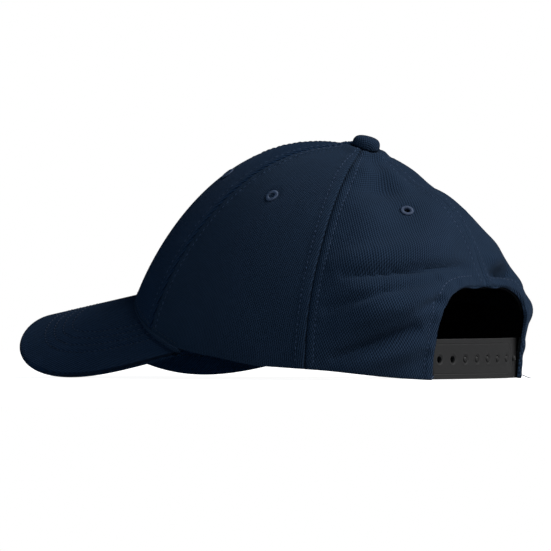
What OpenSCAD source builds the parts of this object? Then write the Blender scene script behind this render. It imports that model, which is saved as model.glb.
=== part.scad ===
// Bump cap: a six-panel fabric cap with a curved visor and a rear snap strap,
// worn over a removable impact shell with foam pads.
// Millimetres, +Z up, visor towards -Y, the wearer's left towards +X.
// Plan angles run from the front (0) over the wearer's left (90) to the rear (180).

/* [Crown] */
// From the widest section of the rim forward to the visor
crown_front = 112; // [107:1:117]
// From the widest section of the rim back to the rear hem
crown_rear = 80; // [77:1:84]
// Width of the rim, side to side
crown_w = 168; // [162:1:174]
// Height of the pole, where the panels meet
crown_h = 114.5; // [110:0.5:120]
// How far the pole lies behind the widest section
pole_back = 11; // [8:1:14]
// Rearward tilt of the crown at the pole, in degrees
pole_tilt = 15.5; // [13:0.5:18]
// Height of the rim over the visor
rim_front_z = 44; // [41:1:47]
// Height of the rim at the ears
rim_side_z = 6; // [4:0.5:8]
// Squareness of the rear rim, where 2 is an ellipse
rear_square = 2.7; // [2.4:0.1:3]
// Angle of the seam between front and side panels
front_seam = 46; // [43:1:50]
// Angle of the seam between side and back panels
back_seam = 101; // [97:1:106]
// Thickness of the panel cloth
panel_t = 1; // [0.7:0.1:1.4]
// Slit left between neighbouring panels
seam_gap = 0.3; // [0.2:0.1:0.5]
// Clearance between sewn layers
layer_gap = 0.4; // [0.3:0.05:0.5]

/* [Profile] */
// Reach of the curve from the pole to the front
front_reach = 77; // [72:1:82]
// Reach of the curve from the pole to the side
side_reach = 41.5; // [38:0.5:46]
// Reach of the curve from the pole to the rear
rear_reach = 53.5; // [49:0.5:58]
// Rise of the curve from the front rim
front_rise = 25; // [22:1:28]
// Rise of the curve from the side rim
side_rise = 49.5; // [46:0.5:54]
// Rise of the curve from the rear rim
rear_rise = 61; // [57:1:65]
// Inward lean at the front rim, in degrees
front_lean = 23; // [20:0.5:26]
// Inward lean at the side rim, in degrees
side_lean = 2.5; // [0:0.5:5]
// Outward lean at the rear rim, in degrees
rear_lean = 7.5; // [5:0.5:10]

/* [Soft form] */
// Swell of a front panel between its seams
front_puff = 0.2; // [0:0.1:1]
// Swell of a side panel between its seams
side_puff = 0.9; // [0:0.1:1.6]
// Swell of a back panel between its seams
back_puff = 1.5; // [0:0.1:2.5]
// Flare of the cloth beside the rear opening
arch_flare = 8.5; // [6:0.5:11]
// Depth of the dip behind the button
pole_dip = 5; // [0:0.5:6]
// How far the rear corners fall in below the button
corner_slack = 5; // [0:0.5:6]

/* [Rear opening] */
// Width of the opening at the hem
arch_w = 87; // [81:1:93]
// Height of the opening
arch_h = 46; // [42:1:50]
// Squareness of the opening, where 2 is an ellipse
arch_square = 3.2; // [2.8:0.1:3.6]
// Width of the tape bound round the opening
binding_w = 8; // [6:0.5:10]
// Thickness of that tape
binding_t = 0.8; // [0.5:0.1:1]

/* [Visor] */
// Reach of the visor in front of the crown
visor_reach = 56.5; // [51:0.5:62]
// Plan angle of the visor's corners
visor_corner = 61; // [58:1:64]
// Radius that the visor is bent to
visor_bend_r = 82.4; // [80:0.2:88]
// Downward slope of the visor's middle, in degrees
visor_dip = 12; // [10:0.5:14]
// Squareness of the visor's outline
visor_square = 3.1; // [2.8:0.1:3.4]
// Thickness of the stiff board inside
board_t = 2; // [1.4:0.1:2.6]
// Thickness of the visor's cloth covers
cover_t = 0.9; // [0.6:0.1:1.2]
// Width of the turned edge that closes the covers round the board
turned_edge = 2.5; // [1.5:0.5:4]

/* [Button and eyelets] */
// Diameter of the covered button
button_d = 14; // [12:0.5:16]
// Height of the covered button
button_h = 6.4; // [5:0.1:7.5]
// Diameter of the rivet's post
post_d = 4; // [3:0.5:5]
// Diameter of the rivet's washer
washer_d = 12; // [10:0.5:13]
// Thickness of the rivet's washer
washer_t = 0.8; // [0.6:0.1:1.2]
// Outer diameter of a sewn eyelet
eyelet_d = 7; // [6:0.5:8]
// Hole through a sewn eyelet
eyelet_hole_d = 3; // [2.4:0.2:3.6]
// Height of an eyelet's thread over the cloth
eyelet_h = 0.7; // [0.5:0.1:1]

/* [Inner bands] */
// Height of the sweatband
band_h = 32; // [28:1:36]
// Thickness of the sweatband
band_t = 1.6; // [1.2:0.1:2.2]
// Width of the tapes over the seams
tape_w = 12; // [9:0.5:14]
// Thickness of the tapes over the seams
tape_t = 0.6; // [0.4:0.1:0.8]
// Thickness of the stiffener behind each front panel
buckram_t = 0.6; // [0.4:0.1:0.8]

/* [Snap strap] */
// Width of the plastic strap
strap_w = 20; // [18:0.5:22]
// Thickness of the plastic strap
strap_t = 1.5; // [1.2:0.1:1.8]
// Radius that the closed strap curves to
strap_r = 240; // [210:5:280]
// Number of holes in the left strap
hole_count = 7; // [6:1:7]
// Number of pegs that sit in holes
pegs_in = 5; // [4:1:5]
// Distance from one hole to the next
hole_pitch = 10.8; // [10.2:0.1:11]
// Distance from the left hinge to the first hole
first_hole = 4.6; // [4:0.1:5]
// Diameter of a strap hole
hole_d = 3.6; // [3.4:0.1:4]
// Diameter of the sunk rim round a hole
hole_rim_d = 5.6; // [5:0.1:6.4]
// Diameter of a peg
peg_d = 2.8; // [2.4:0.1:2.8]
// Height of a hole's centre on the strap
hole_z = 9.8; // [9:0.1:11]
// How far a peg's tip stands out of its hole
peg_stand = 0.3; // [0:0.1:0.5]
// Distance from the last hole to the strap's rounded end
end_margin = 7.4; // [6.5:0.1:8]
// Corner radius of the strap's end
end_r = 6; // [4:0.5:8]
// Width of the fine grooves along the strap
groove_w = 0.5; // [0.3:0.1:0.8]
// Depth of the fine grooves along the strap
groove_depth = 0.3; // [0.2:0.1:0.5]
// Distance from the strap's edges to its grooves
groove_inset = 2.6; // [2:0.1:3.2]
// Length of strap sewn behind the hem
tab_l = 11; // [8:0.5:12]
// Running clearance between the straps, and at their hinges
strap_gap = 0.3; // [0.2:0.05:0.4]

/* [Insert] */
// Thickness of the impact shell
shell_t = 2; // [1.6:0.1:2.4]
// Extra room between cloth and shell at the rear
shell_rear_room = 6; // [5:0.5:8]
// Extra room between cloth and shell at the pole
shell_pole_room = 4; // [3:0.5:5]
// Height of the shell's lower edge over the rim, front and sides
shell_edge = 42; // [38:1:46]
// Height of the shell's lower edge over the rim at the rear
shell_edge_rear = 58; // [54:1:62]
// Thickness of the foam pads at their crown
pad_t = 6; // [4:0.5:8]
// Thickness of each half of the hook and loop patches
patch_t = 0.7; // [0.5:0.1:0.9]
// Width of the hook and loop patches
patch_w = 20; // [14:1:24]

/* [Hidden] */
$fn = 48;

// Small helpers
function lerp(a, b, f) = a + (b - a) * f;
function unit(v) = v / norm(v);
function signed_pow(v, e) = sign(v) * pow(abs(v), e);
function bell(v, middle, spread) = exp(-pow((v - middle) / spread, 2));
function smooth(v) = let (c = min(max(v, 0), 1)) c * c * (3 - 2 * c);
function steps(from, to, count) = [for (i = [0:count]) lerp(from, to, i / count)];

// Rim of the crown, as a function of the plan angle
function front_share(t) = pow(max(cos(t), 0), 2);
function rear_share(t) = pow(max(-cos(t), 0), 2);
function by_side(t, front, side, rear) =
  side + (front - side) * front_share(t) + (rear - side) * rear_share(t);
function rim_z(t) =
  cos(t) > 0 ? by_side(t, rim_front_z, rim_side_z, 0) : rim_side_z * pow(sin(t), 4);
function rim(t) =
  let (
    front = cos(t) > 0,
    depth = front ? crown_front : crown_rear,
    power = 2 / (front ? 2 : rear_square)
  )
  [crown_w / 2 * signed_pow(sin(t), power), -depth * signed_pow(cos(t), power), rim_z(t)];

// Smooth crown: one cubic curve from the rim (s = 0) to the pole (s = 1) at each plan angle
pole = [0, pole_back, crown_h];
pole_axis = [0, sin(pole_tilt), cos(pole_tilt)];
function outward(t) = let (r = rim(t)) unit([r.x, r.y, 0]);
function smooth_crown(t, s) =
  let (
    start = rim(t),
    out = outward(t),
    lean = by_side(t, front_lean, side_lean, -rear_lean),
    up = [-out.x * sin(lean), -out.y * sin(lean), cos(lean)],
    away = [out.x, out.y * cos(pole_tilt), -out.y * sin(pole_tilt)],
    low = start + up * by_side(t, front_rise, side_rise, rear_rise),
    high = pole + away * by_side(t, front_reach, side_reach, rear_reach),
    u = 1 - s
  )
  u * u * u * start + 3 * u * u * s * low + 3 * u * s * s * high + s * s * s * pole;

// Cloth crown: the smooth one with swelling panels, flared and slack rear corners and a dip at the back
crown_core = [0, pole_back / 2, crown_h / 5];
flare_at = [130, 0.24];
flare_spread = [20, 0.11];
flare_to_arch = 36;
dip_at = [180, 0.8];
dip_spread = [16.5, 0.1];
slack_at = [146, 0.67];
slack_spread = [18.5, 0.2];
function panel_puff(t) =
  t < front_seam ? front_puff * sin(180 * t / front_seam) :
  t < back_seam ? side_puff * sin(180 * (t - front_seam) / (back_seam - front_seam)) :
  back_puff * sin(180 * (t - back_seam) / (180 - back_seam));
function to_rear(t) = 180 - abs(180 - abs(t));
function crown(t, s) =
  let (
    base = smooth_crown(t, s),
    a = to_rear(t),
    flare_turn = a < flare_at[0] ? flare_spread[0] : flare_to_arch,
    flare = arch_flare * bell(a, flare_at[0], flare_turn) * bell(s, flare_at[1], flare_spread[1]),
    dip = pole_dip * bell(a, dip_at[0], dip_spread[0]) * bell(s, dip_at[1], dip_spread[1]),
    slack = corner_slack * bell(a, slack_at[0], slack_spread[0]) * bell(s, slack_at[1], slack_spread[1])
  )
  base + unit(base - crown_core) * (panel_puff(a) * sin(180 * s) - dip - slack) + outward(t) * flare;

// Points under the cloth crown's outer face, a depth in from it
probe_t = 0.5;
probe_s = 0.004;
function normal(t, s) =
  unit(cross(crown(t + probe_t, s) - crown(t - probe_t, s), crown(t, s + probe_s) - crown(t, s - probe_s)));
function under(t, s, depth) = crown(t, s) - normal(t, s) * depth;

// Angle that a length takes up round the crown, where the rear's middle has a steeper law of its own
squash_at = 150;
function turn(length, t, s) =
  abs(t) == 180 ?
  let (share = 2 * length / crown_w * rim(squash_at).x / smooth_crown(squash_at, s).x)
  asin(signed_pow(share, rear_square / 2)) :
  length / norm(crown(t + probe_t, s) - crown(t - probe_t, s)) * 2 * probe_t;
// Curve value at a height along the cloth
function climb(t, length, low = 0, high = 0.9, left = 14) =
  left == 0 ? (low + high) / 2 :
  let (mid = (low + high) / 2)
  norm(crown(t, mid) - crown(t, 0)) < length ? climb(t, length, mid, high, left - 1) :
  climb(t, length, low, mid, left - 1);

// Closed solid between two point grids, with a wall round every edge and every open cell
function cell_solid(open, i, j, rows, cols, wrap) =
  (wrap || (i >= 0 && i < rows)) && j >= 0 && j < cols && !open[(i + rows) % rows][j];
module grid_solid(face, back, wrap = false, open = undef) {
  lines = len(face);
  cols = len(face[0]) - 1;
  rows = wrap ? lines : lines - 1;
  mask = open == undef ? [for (i = [0:rows - 1]) [for (j = [0:cols - 1]) false]] : open;
  total = lines * (cols + 1);
  function at(i, j, side) = side * total + (i % lines) * (cols + 1) + j;
  function quad(a, b, c, d) = [[a, b, c], [a, c, d]];
  function wall(i, j, k, l) = quad(at(i, j, 0), at(k, l, 0), at(k, l, 1), at(i, j, 1));
  function here(i, j) = cell_solid(mask, i, j, rows, cols, wrap);
  faces = [
    for (i = [0:rows - 1], j = [0:cols - 1]) if (!mask[i][j]) each concat(
      quad(at(i, j, 0), at(i, j + 1, 0), at(i + 1, j + 1, 0), at(i + 1, j, 0)),
      quad(at(i, j, 1), at(i + 1, j, 1), at(i + 1, j + 1, 1), at(i, j + 1, 1)),
      here(i, j - 1) ? [] : wall(i, j, i + 1, j),
      here(i, j + 1) ? [] : wall(i + 1, j + 1, i, j + 1),
      here(i - 1, j) ? [] : wall(i, j + 1, i, j),
      here(i + 1, j) ? [] : wall(i + 1, j, i + 1, j + 1)
    )
  ];
  polyhedron([for (side = [face, back]) each [for (line = side) each line]], faces, convexity = 8);
}

// Layer of the crown over a list of columns, each [angle, lowest s, highest s]
module crown_layer(columns, rows, depth, thickness) {
  function line(c, d) = [for (j = [0:rows]) under(c[0], lerp(c[1], c[2], j / rows), d)];
  grid_solid([for (c = columns) line(c, depth)], [for (c = columns) line(c, depth + thickness)]);
}

// Rear opening: its corner on the rim, and its edge, grown by a margin, as [angle, s] over a quarter turn
function arch_turn(grow = 0) = asin(pow((arch_w + 2 * grow) / crown_w, rear_square / 2));
arch_corner = 180 - arch_turn();
arch_top = climb(180, arch_h);
function arch_edge(q, grow = 0) = [
  180 - arch_turn(grow) * pow(cos(q), 2 / arch_square),
  climb(180, arch_h + grow) * pow(sin(q), 2 / arch_square)
];

// Cloth panels
cloth = [0.05, 0.09, 0.15];
pole_stop = 0.975;
panel_rows = 20;
panel_lines = 14;
arch_lines = 14;
arch_crowding = 1.8;
function along_rim(t, s) = unit(crown(t + probe_t, s) - crown(t - probe_t, s));
function panel_line(t, low, lean, depth) = [
  for (j = [0:panel_rows])
    let (s = lerp(low, pole_stop, j / panel_rows))
    under(t, s, depth) + along_rim(t, s) * lean * seam_gap / 2
];
module panel(columns) {
  last = len(columns) - 1;
  function lean(i) = i == 0 ? 1 : i == last ? -1 : 0;
  function side(depth) = [
    for (i = [0:last]) panel_line(columns[i][0], columns[i][1], lean(i), depth)
  ];
  color(cloth) grid_solid(side(0), side(panel_t));
}
module front_panel_left() {
  difference() {
    panel([for (t = steps(0, front_seam, panel_lines)) [t, 0]]);
    eyelet_bore(front_eyelet);
  }
}
module side_panel_left() {
  difference() {
    panel([for (t = steps(front_seam, back_seam, panel_lines)) [t, 0]]);
    eyelet_bore(side_eyelet);
  }
}
module back_panel_left() {
  difference() {
    panel(concat(
      [for (t = steps(back_seam, arch_corner, panel_lines)) [t, 0]],
      [for (f = steps(1 / arch_lines, 1, arch_lines - 1)) arch_edge(90 * pow(f, arch_crowding))]
    ));
    eyelet_bore(back_eyelet);
  }
}
module right_of() {
  mirror([1, 0, 0]) children();
}

// Sewn eyelets, one in each panel, as [angle, s]
front_eyelet = [23, 0.59];
side_eyelet = [70.5, 0.576];
back_eyelet = [153.5, 0.6];
bore_depth = 6;
module on_cloth(place) {
  out = normal(place[0], place[1]);
  translate(crown(place[0], place[1]))
    rotate([0, acos(out.z), atan2(out.y, out.x)]) children();
}
module eyelet_bore(place) {
  on_cloth(place) cylinder(d = eyelet_hole_d + 2 * layer_gap, h = bore_depth, center = true);
}
module eyelet(place) {
  ring_r = (eyelet_d - eyelet_hole_d) / 4;
  on_cloth(place) translate([0, 0, layer_gap]) rotate_extrude()
    translate([(eyelet_d + eyelet_hole_d) / 4, 0]) intersection() {
      ring_section(ring_r);
      translate([-ring_r, 0]) square([2 * ring_r, eyelet_h]);
    }
}
module ring_section(r) {
  translate([0, -r + eyelet_h]) circle(r = r);
}
module eyelets() {
  color([0.12, 0.16, 0.23]) for (place = [front_eyelet, side_eyelet, back_eyelet]) {
    eyelet(place);
    right_of() eyelet(place);
  }
}

// Covered button over the pole and the rivet that holds it
button_lift = 0.6;
washer_drop = 2.2;
module at_pole() {
  translate(pole) rotate([-pole_tilt, 0, 0]) children();
}
module top_button() {
  edge = button_h / 3;
  crown_r = (pow(button_d / 2, 2) + pow(button_h - edge, 2)) / (2 * (button_h - edge));
  color(cloth) at_pole() translate([0, 0, button_lift]) intersection() {
    cylinder(d = button_d, h = button_h);
    translate([0, 0, button_h - crown_r]) sphere(r = crown_r);
  }
}
module button_rivet() {
  color("silver") at_pole() {
    translate([0, 0, -washer_drop]) cylinder(d = post_d, h = washer_drop + button_lift);
    translate([0, 0, -washer_drop - washer_t]) cylinder(d = washer_d, h = washer_t);
  }
}

// Visor: straight lines from the front rim out to an outline on a bent sheet
visor_end = 0.995;
visor_lines = 40;
corner_ease = 6;
board_least = 0.3;
turn_share = 0.4;
visor_tip = crown_front + visor_reach;
visor_stack = board_t + 2 * cover_t + 2 * layer_gap;
corner_pt = rim(visor_corner);
corner_turn = asin(corner_pt.x / visor_bend_r);
function bent_z(y, phi) =
  rim_front_z + tan(visor_dip) * (crown_front + y) - visor_bend_r * (1 - cos(phi));
corner_fix = corner_pt.z - bent_z(corner_pt.y, corner_turn);
function visor_edge(p) =
  let (
    across = sin(90 * p),
    phi = corner_turn * across,
    ahead = pow(1 - pow(abs(across), visor_square), 1 / visor_square),
    y = corner_pt.y - (visor_tip + corner_pt.y) * ahead
  )
  [visor_bend_r * sin(phi), y, bent_z(y, phi) + corner_fix * pow(abs(p), corner_ease)];
function visor_normal(pt) = let (phi = asin(pt.x / visor_bend_r)) [sin(phi), 0, cos(phi)];
visor_low = min([
  for (p = steps(0, 1, visor_lines)) let (e = visor_edge(p)) e.z - visor_stack * visor_normal(e).z
]);
root_drop = layer_gap + panel_t * sin(front_lean);
function visor_root(p) =
  let (t = visor_corner * p) rim(t) - outward(t) * panel_t - [0, 0, root_drop];
function visor_rim(p) = visor_edge(p) - [0, 0, visor_low];
function visor_pt(p, q, depth) =
  let (top = lerp(visor_root(p), visor_rim(p), q)) top - visor_normal(top) * depth;
function board_q(p) = max(1 - turned_edge / norm(visor_rim(p) - visor_root(p)), board_least);
visor_ps = steps(visor_end, -visor_end, visor_lines);
board_steps = steps(0, 1, 4);
under_depth = visor_stack - cover_t;
module visor_board() {
  function line(p, depth) = [for (k = board_steps) visor_pt(p, k * board_q(p), depth)];
  depth = cover_t + layer_gap;
  color("dimgray")
    grid_solid([for (p = visor_ps) line(p, depth)], [for (p = visor_ps) line(p, depth + board_t)]);
}
module visor_top_cover() {
  lip = under_depth - layer_gap;
  function qs(p) = let (b = board_q(p)) concat(board_steps * b, [lerp(b, 1, turn_share), 1]);
  function line(p) = [for (q = qs(p)) visor_pt(p, q, 0)];
  function back(p) = [for (q = qs(p)) visor_pt(p, q, q > board_q(p) ? lip : cover_t)];
  color(cloth) grid_solid([for (p = visor_ps) line(p)], [for (p = visor_ps) back(p)]);
}
module visor_under_cover() {
  function line(p, depth) = [for (q = board_steps) visor_pt(p, q, depth)];
  color(cloth) grid_solid(
    [for (p = visor_ps) line(p, under_depth)], [for (p = visor_ps) line(p, visor_stack)]
  );
}

// Straps: where they are hinged to the hem, as plan angles
hem_s = 0.08;
hinge_room = 1.2;
inner_face = panel_t + layer_gap;
hinge_q = asin(pow(climb(arch_corner, strap_w + hinge_room) / arch_top, arch_square / 2));
left_hinge_t = arch_edge(hinge_q)[0] + turn(hinge_room, arch_corner, hem_s);
right_hem = 4;
right_hinge_t = arch_corner - turn(right_hem, arch_corner, hem_s);

// Sweatband: a band inside the rim that steps in over the sewn strap tabs at both ends
band_start = 0.02;
band_gap = 2;
ramp_l = 6;
band_end = right_hinge_t - turn(band_gap, arch_corner, hem_s);
band_columns = 56;
band_rows = 6;
band_step = strap_t + layer_gap;
band_ramp = turn(ramp_l, arch_corner, hem_s);
tab_turn = turn(tab_l, arch_corner, hem_s);
function band_depth(t) =
  inner_face + band_step * smooth((abs(t) - right_hinge_t + tab_turn + 1.5 * band_ramp) / band_ramp);
module sweatband() {
  function line(t, depth) = let (top = climb(t, band_h))
    [for (j = [0:band_rows]) under(t, lerp(band_start, top, j / band_rows), band_depth(t) + depth)];
  ts = steps(-band_end, band_end, band_columns);
  color([0.06, 0.07, 0.09])
    grid_solid([for (t = ts) line(t, 0)], [for (t = ts) line(t, band_t)]);
}

// Tapes that cover the six seams on the inside, narrower towards the pole
tape_top = 0.93;
tape_rows = 11;
tape_taper = 5;
tape_clear = 1.5;
seam_angles = [0, front_seam, back_seam, 180, -back_seam, -front_seam];
function tape_foot(t) = climb(t, abs(t) == 180 ? arch_h + binding_w + tape_clear : band_h + tape_clear);
module seam_tape(t) {
  foot = tape_foot(t);
  function line(across, depth) = [
    for (j = [0:tape_rows])
      let (s = lerp(foot, tape_top, j / tape_rows))
      under(t + turn(across * tape_w / 2 * min(1, (1 - s) * tape_taper), t, s), s, depth)
  ];
  function side(depth) = [for (across = [-1, 0, 1]) line(across, depth)];
  grid_solid(side(inner_face), side(inner_face + tape_t));
}
module seam_tapes() {
  color([0.1, 0.11, 0.13]) for (t = seam_angles) seam_tape(t);
}

// Stiffener behind each front panel, between the tapes
buckram_top = 0.7;
buckram_lines = 6;
buckram_rows = 8;
module buckram() {
  edge = turn(tape_w / 2 + tape_clear, front_seam / 2, buckram_top);
  columns = [
    for (t = steps(edge, front_seam - edge, buckram_lines)) [t, climb(t, band_h + tape_clear), buckram_top]
  ];
  difference() {
    crown_layer(columns, buckram_rows, inner_face, buckram_t);
    eyelet_bore(front_eyelet);
  }
}
module front_buckram() {
  color([0.85, 0.85, 0.82]) {
    buckram();
    right_of() buckram();
  }
}

// Tape bound round the edge of the rear opening, above the straps
binding_from = 36;
binding_rows = 3;
binding_lines = 10;
module arch_binding() {
  function edge_pt(q, depth, wide) = let (e = arch_edge(q, wide)) under(e[0], e[1], depth);
  function line(q, depth) = [for (w = steps(0, 1, binding_rows)) edge_pt(q, depth, w * binding_w)];
  function half(depth) = [for (q = steps(binding_from, 90, binding_lines)) line(q, depth)];
  function flip(pts) = [for (pt = pts) [-pt.x, pt.y, pt.z]];
  function both(depth) =
    let (h = half(depth)) concat(h, [for (i = [len(h) - 2:-1:0]) flip(h[i])]);
  depth = inner_face + layer_gap;
  color([0.05, 0.05, 0.06]) grid_solid(both(depth), both(depth + binding_t));
}

// Straps: two arcs about one centre, each leaving the inner face of its own side's panel
strap_black = [0.17, 0.17, 0.18];
strap_foot = 0.4;
arc_sides = 720;
groove_over = 1;
rim_sink = 0.4;
overlap_step = strap_t + strap_gap;
right_r = strap_r - overlap_step;
left_spot = under(left_hinge_t, 0, inner_face);
right_spot = let (p = under(right_hinge_t, 0, inner_face)) [-p.x, p.y];
chord = right_spot - [left_spot.x, left_spot.y];
chord_share = (pow(strap_r, 2) - pow(right_r, 2) + chord * chord) / (2 * chord * chord);
chord_drop = sqrt(pow(strap_r, 2) - pow(chord_share, 2) * (chord * chord));
strap_centre = [left_spot.x, left_spot.y] + chord * chord_share + unit([-chord.y, chord.x]) * chord_drop;
function strap_turn(length) = length / strap_r * 180 / PI;
function bearing(pt) = atan2(pt.x - strap_centre.x, pt.y - strap_centre.y);
left_bearing = bearing(left_spot);
right_bearing = bearing(right_spot);
left_length = first_hole + (hole_count - 1) * hole_pitch + end_margin;
function hole_bearing(i) = left_bearing - strap_turn(first_hole + i * hole_pitch);
first_peg = hole_count - pegs_in;
right_end = hole_bearing(first_peg) + strap_turn(end_margin);
left_hinge = [left_spot.x, left_spot.y];
right_hinge = strap_point(right_bearing, right_r - strap_t);
function strap_point(b, r) = strap_centre + r * [sin(b), cos(b)];
echo(left_hinge = left_hinge, right_hinge = right_hinge);
echo(first_hole_at = strap_point(hole_bearing(0), strap_r - strap_t), first_hole_bearing = hole_bearing(0));
module at_bearing(b, r) {
  translate([strap_centre.x, strap_centre.y, strap_foot]) rotate([0, 0, -b]) translate([0, r, 0]) children();
}
module strap_arc(from, to, r, thick, low, high) {
  translate([strap_centre.x, strap_centre.y, strap_foot + low]) rotate([0, 0, 90 - to])
    rotate_extrude(angle = to - from, $fn = arc_sides) translate([r - thick, 0]) square([thick, high - low]);
}
// The two corner pieces cut from a strap's free end, which points along +X
module end_corners() {
  reach = 2 * end_r;
  for (flip = [0, 1]) translate([0, 0, flip * strap_w]) mirror([0, 0, flip]) difference() {
    translate([-end_r, -reach, -end_r]) cube([reach, 2 * reach, reach]);
    translate([-end_r, 0, end_r]) rotate([90, 0, 0]) cylinder(r = end_r, h = 3 * reach, center = true);
    translate([-reach, -2 * reach, end_r]) cube([2 * reach, 4 * reach, reach]);
    translate([-reach - end_r, -2 * reach, -reach]) cube([reach, 4 * reach, 2 * reach]);
  }
}
module grooves(from, to, r) {
  for (z = [groove_inset, strap_w - groove_inset])
    strap_arc(from, to, r + groove_depth, 2 * groove_depth, z - groove_w / 2, z + groove_w / 2);
}
module strap_left() {
  end = left_bearing - strap_turn(left_length);
  color(strap_black) difference() {
    strap_arc(end, left_bearing, strap_r, strap_t, 0, strap_w);
    at_bearing(end, strap_r) mirror([1, 0, 0]) end_corners();
    grooves(end - groove_over, left_bearing + groove_over, strap_r);
    for (i = [0:hole_count - 1]) at_bearing(hole_bearing(i), strap_r) translate([0, 0, hole_z]) {
      rotate([90, 0, 0]) cylinder(d = hole_d, h = 4 * strap_t, center = true);
      rotate([90, 0, 0]) cylinder(d = hole_rim_d, h = 2 * rim_sink, center = true);
    }
  }
}
module peg() {
  tip = 0.6;
  root = strap_t / 2;
  body = strap_gap + strap_t + peg_stand - tip;
  rotate([-90, 0, 0]) {
    translate([0, 0, -root]) cylinder(d = peg_d, h = root + body);
    translate([0, 0, body]) cylinder(d1 = peg_d, d2 = peg_d - tip, h = tip);
  }
}
module strap_right() {
  color(strap_black) {
    difference() {
      strap_arc(right_bearing, right_end, right_r, strap_t, 0, strap_w);
      at_bearing(right_end, right_r) end_corners();
    }
    for (i = [first_peg:hole_count]) at_bearing(hole_bearing(i), right_r) translate([0, 0, hole_z]) peg();
  }
}
// Ends of the straps that are sewn flat behind the hem
tab_room = turn(2 * strap_gap, arch_corner, hem_s);
tab_low = 1.9;
tab_lines = 4;
tab_rows = 2;
module strap_tab(from, to) {
  columns = [for (t = steps(from, to, tab_lines)) [t, climb(t, tab_low), climb(t, strap_w)]];
  color(strap_black) crown_layer(columns, tab_rows, inner_face, strap_t);
}
module strap_tab_left() {
  strap_tab(arch_corner - tab_turn, left_hinge_t - tab_room);
}
module strap_tab_right() {
  right_of() strap_tab(right_hinge_t - tab_turn, right_hinge_t - tab_room);
}

// Removable insert: points under the smooth crown, because a hard shell has none of the cloth's swells
function smooth_normal(t, s) = unit(cross(
  smooth_crown(t + probe_t, s) - smooth_crown(t - probe_t, s),
  smooth_crown(t, s + probe_s) - smooth_crown(t, s - probe_s)
));
function inside(t, s, depth) = smooth_crown(t, s) - smooth_normal(t, s) * depth;
patch_gap = 0.3;
shell_depth = inner_face + 2 * patch_t + patch_gap + layer_gap;
room_from = 0.6;
room_span = 0.3;
function shell_out(t, s) =
  shell_depth + shell_rear_room * rear_share(t) + shell_pole_room * smooth((s - room_from) / room_span);
function shell_foot(t) = climb(t, by_side(t, shell_edge, shell_edge, shell_edge_rear));
shell_top = 0.945;
shell_lines = 48;
shell_rows = 11;
vent_lines = 6;
vent_first = 2;
vent_rows = [3, 4, 6, 7];
function vent_at(i, j) = (i + vent_first) % vent_lines < 2 && len(search(j, vent_rows)) > 0;
module impact_shell() {
  ts = [for (i = [0:shell_lines - 1]) lerp(-180, 180, i / shell_lines)];
  function line(t, depth) = let (foot = shell_foot(t)) [
    for (j = [0:shell_rows])
      let (s = lerp(foot, shell_top, j / shell_rows)) inside(t, s, shell_out(t, s) + depth)
  ];
  vents = [for (i = [0:shell_lines - 1]) [for (j = [0:shell_rows - 1]) vent_at(i, j)]];
  color([0.12, 0.12, 0.13]) grid_solid(
    [for (t = ts) line(t, 0)], [for (t = ts) line(t, shell_t)], wrap = true, open = vents
  );
}

// Hook and loop patches that hold the insert, one pair on each side
patch_t0 = 76;
patch_s = [0.42, 0.52];
patch_cells = 3;
module patch_pair(face, back) {
  half = turn(patch_w / 2, patch_t0, patch_s[0]);
  ts = steps(patch_t0 - half, patch_t0 + half, patch_cells);
  ss = steps(patch_s[0], patch_s[1], patch_cells);
  module one() {
    grid_solid([for (t = ts) [for (s = ss) face(t, s)]], [for (t = ts) [for (s = ss) back(t, s)]]);
  }
  one();
  right_of() one();
}
hook_face = inner_face + patch_t + patch_gap;
module loop_patches() {
  color([0.1, 0.1, 0.11]) patch_pair(
    function (t, s) under(t, s, inner_face), function (t, s) under(t, s, inner_face + patch_t)
  );
}
module hook_patches() {
  color([0.1, 0.1, 0.11]) patch_pair(
    function (t, s) under(t, s, hook_face), function (t, s) inside(t, s, shell_out(t, s) - patch_gap)
  );
}

// Foam pads inside the shell, thick in the middle and drawn in at the edges
foam = [0.2, 0.2, 0.22];
pad_seat = 0.5;
edge_share = 0.35;
swell_power = 3;
function swell(u) = 1 - pow(abs(2 * u - 1), swell_power);
function pad_face(t, s) = inside(t, s, shell_out(t, s) + shell_t + pad_seat);
function pad_back(t, s, full) =
  inside(t, s, shell_out(t, s) + shell_t + pad_seat + pad_t * lerp(edge_share, 1, full));
pad_cells = 8;
module pad(from, to, low, high) {
  us = steps(0, 1, pad_cells);
  function spot(u, v) = [lerp(from, to, u), lerp(low, high, v)];
  function face(u, v) = let (p = spot(u, v)) pad_face(p[0], p[1]);
  function back(u, v) = let (p = spot(u, v)) pad_back(p[0], p[1], swell(u) * swell(v));
  color(foam)
    grid_solid([for (u = us) [for (v = us) face(u, v)]], [for (u = us) [for (v = us) back(u, v)]]);
}
crown_pad_s = [0.74, 0.935];
crown_pad_lines = 30;
crown_pad_rows = 5;
module crown_pad() {
  ts = [for (i = [0:crown_pad_lines - 1]) lerp(-180, 180, i / crown_pad_lines)];
  vs = steps(0, 1, crown_pad_rows);
  function at_v(v) = lerp(crown_pad_s[0], crown_pad_s[1], v);
  color(foam) grid_solid(
    [for (t = ts) [for (v = vs) pad_face(t, at_v(v))]],
    [for (t = ts) [for (v = vs) pad_back(t, at_v(v), swell(v))]],
    wrap = true
  );
}
front_pad_half = 38;
side_pad_span = [58, 116];
rear_pad_half = 28;
pad_top = 0.66;
pad_foot_room = 3;
module front_pad() {
  pad(-front_pad_half, front_pad_half, climb(0, shell_edge + pad_foot_room), pad_top);
}
module side_pad_left() {
  pad(side_pad_span[0], side_pad_span[1], climb(90, shell_edge + 3 * pad_foot_room), pad_top);
}
module rear_pad() {
  pad(180 - rear_pad_half, 180 + rear_pad_half, climb(180, shell_edge_rear + pad_foot_room), pad_top);
}

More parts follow.
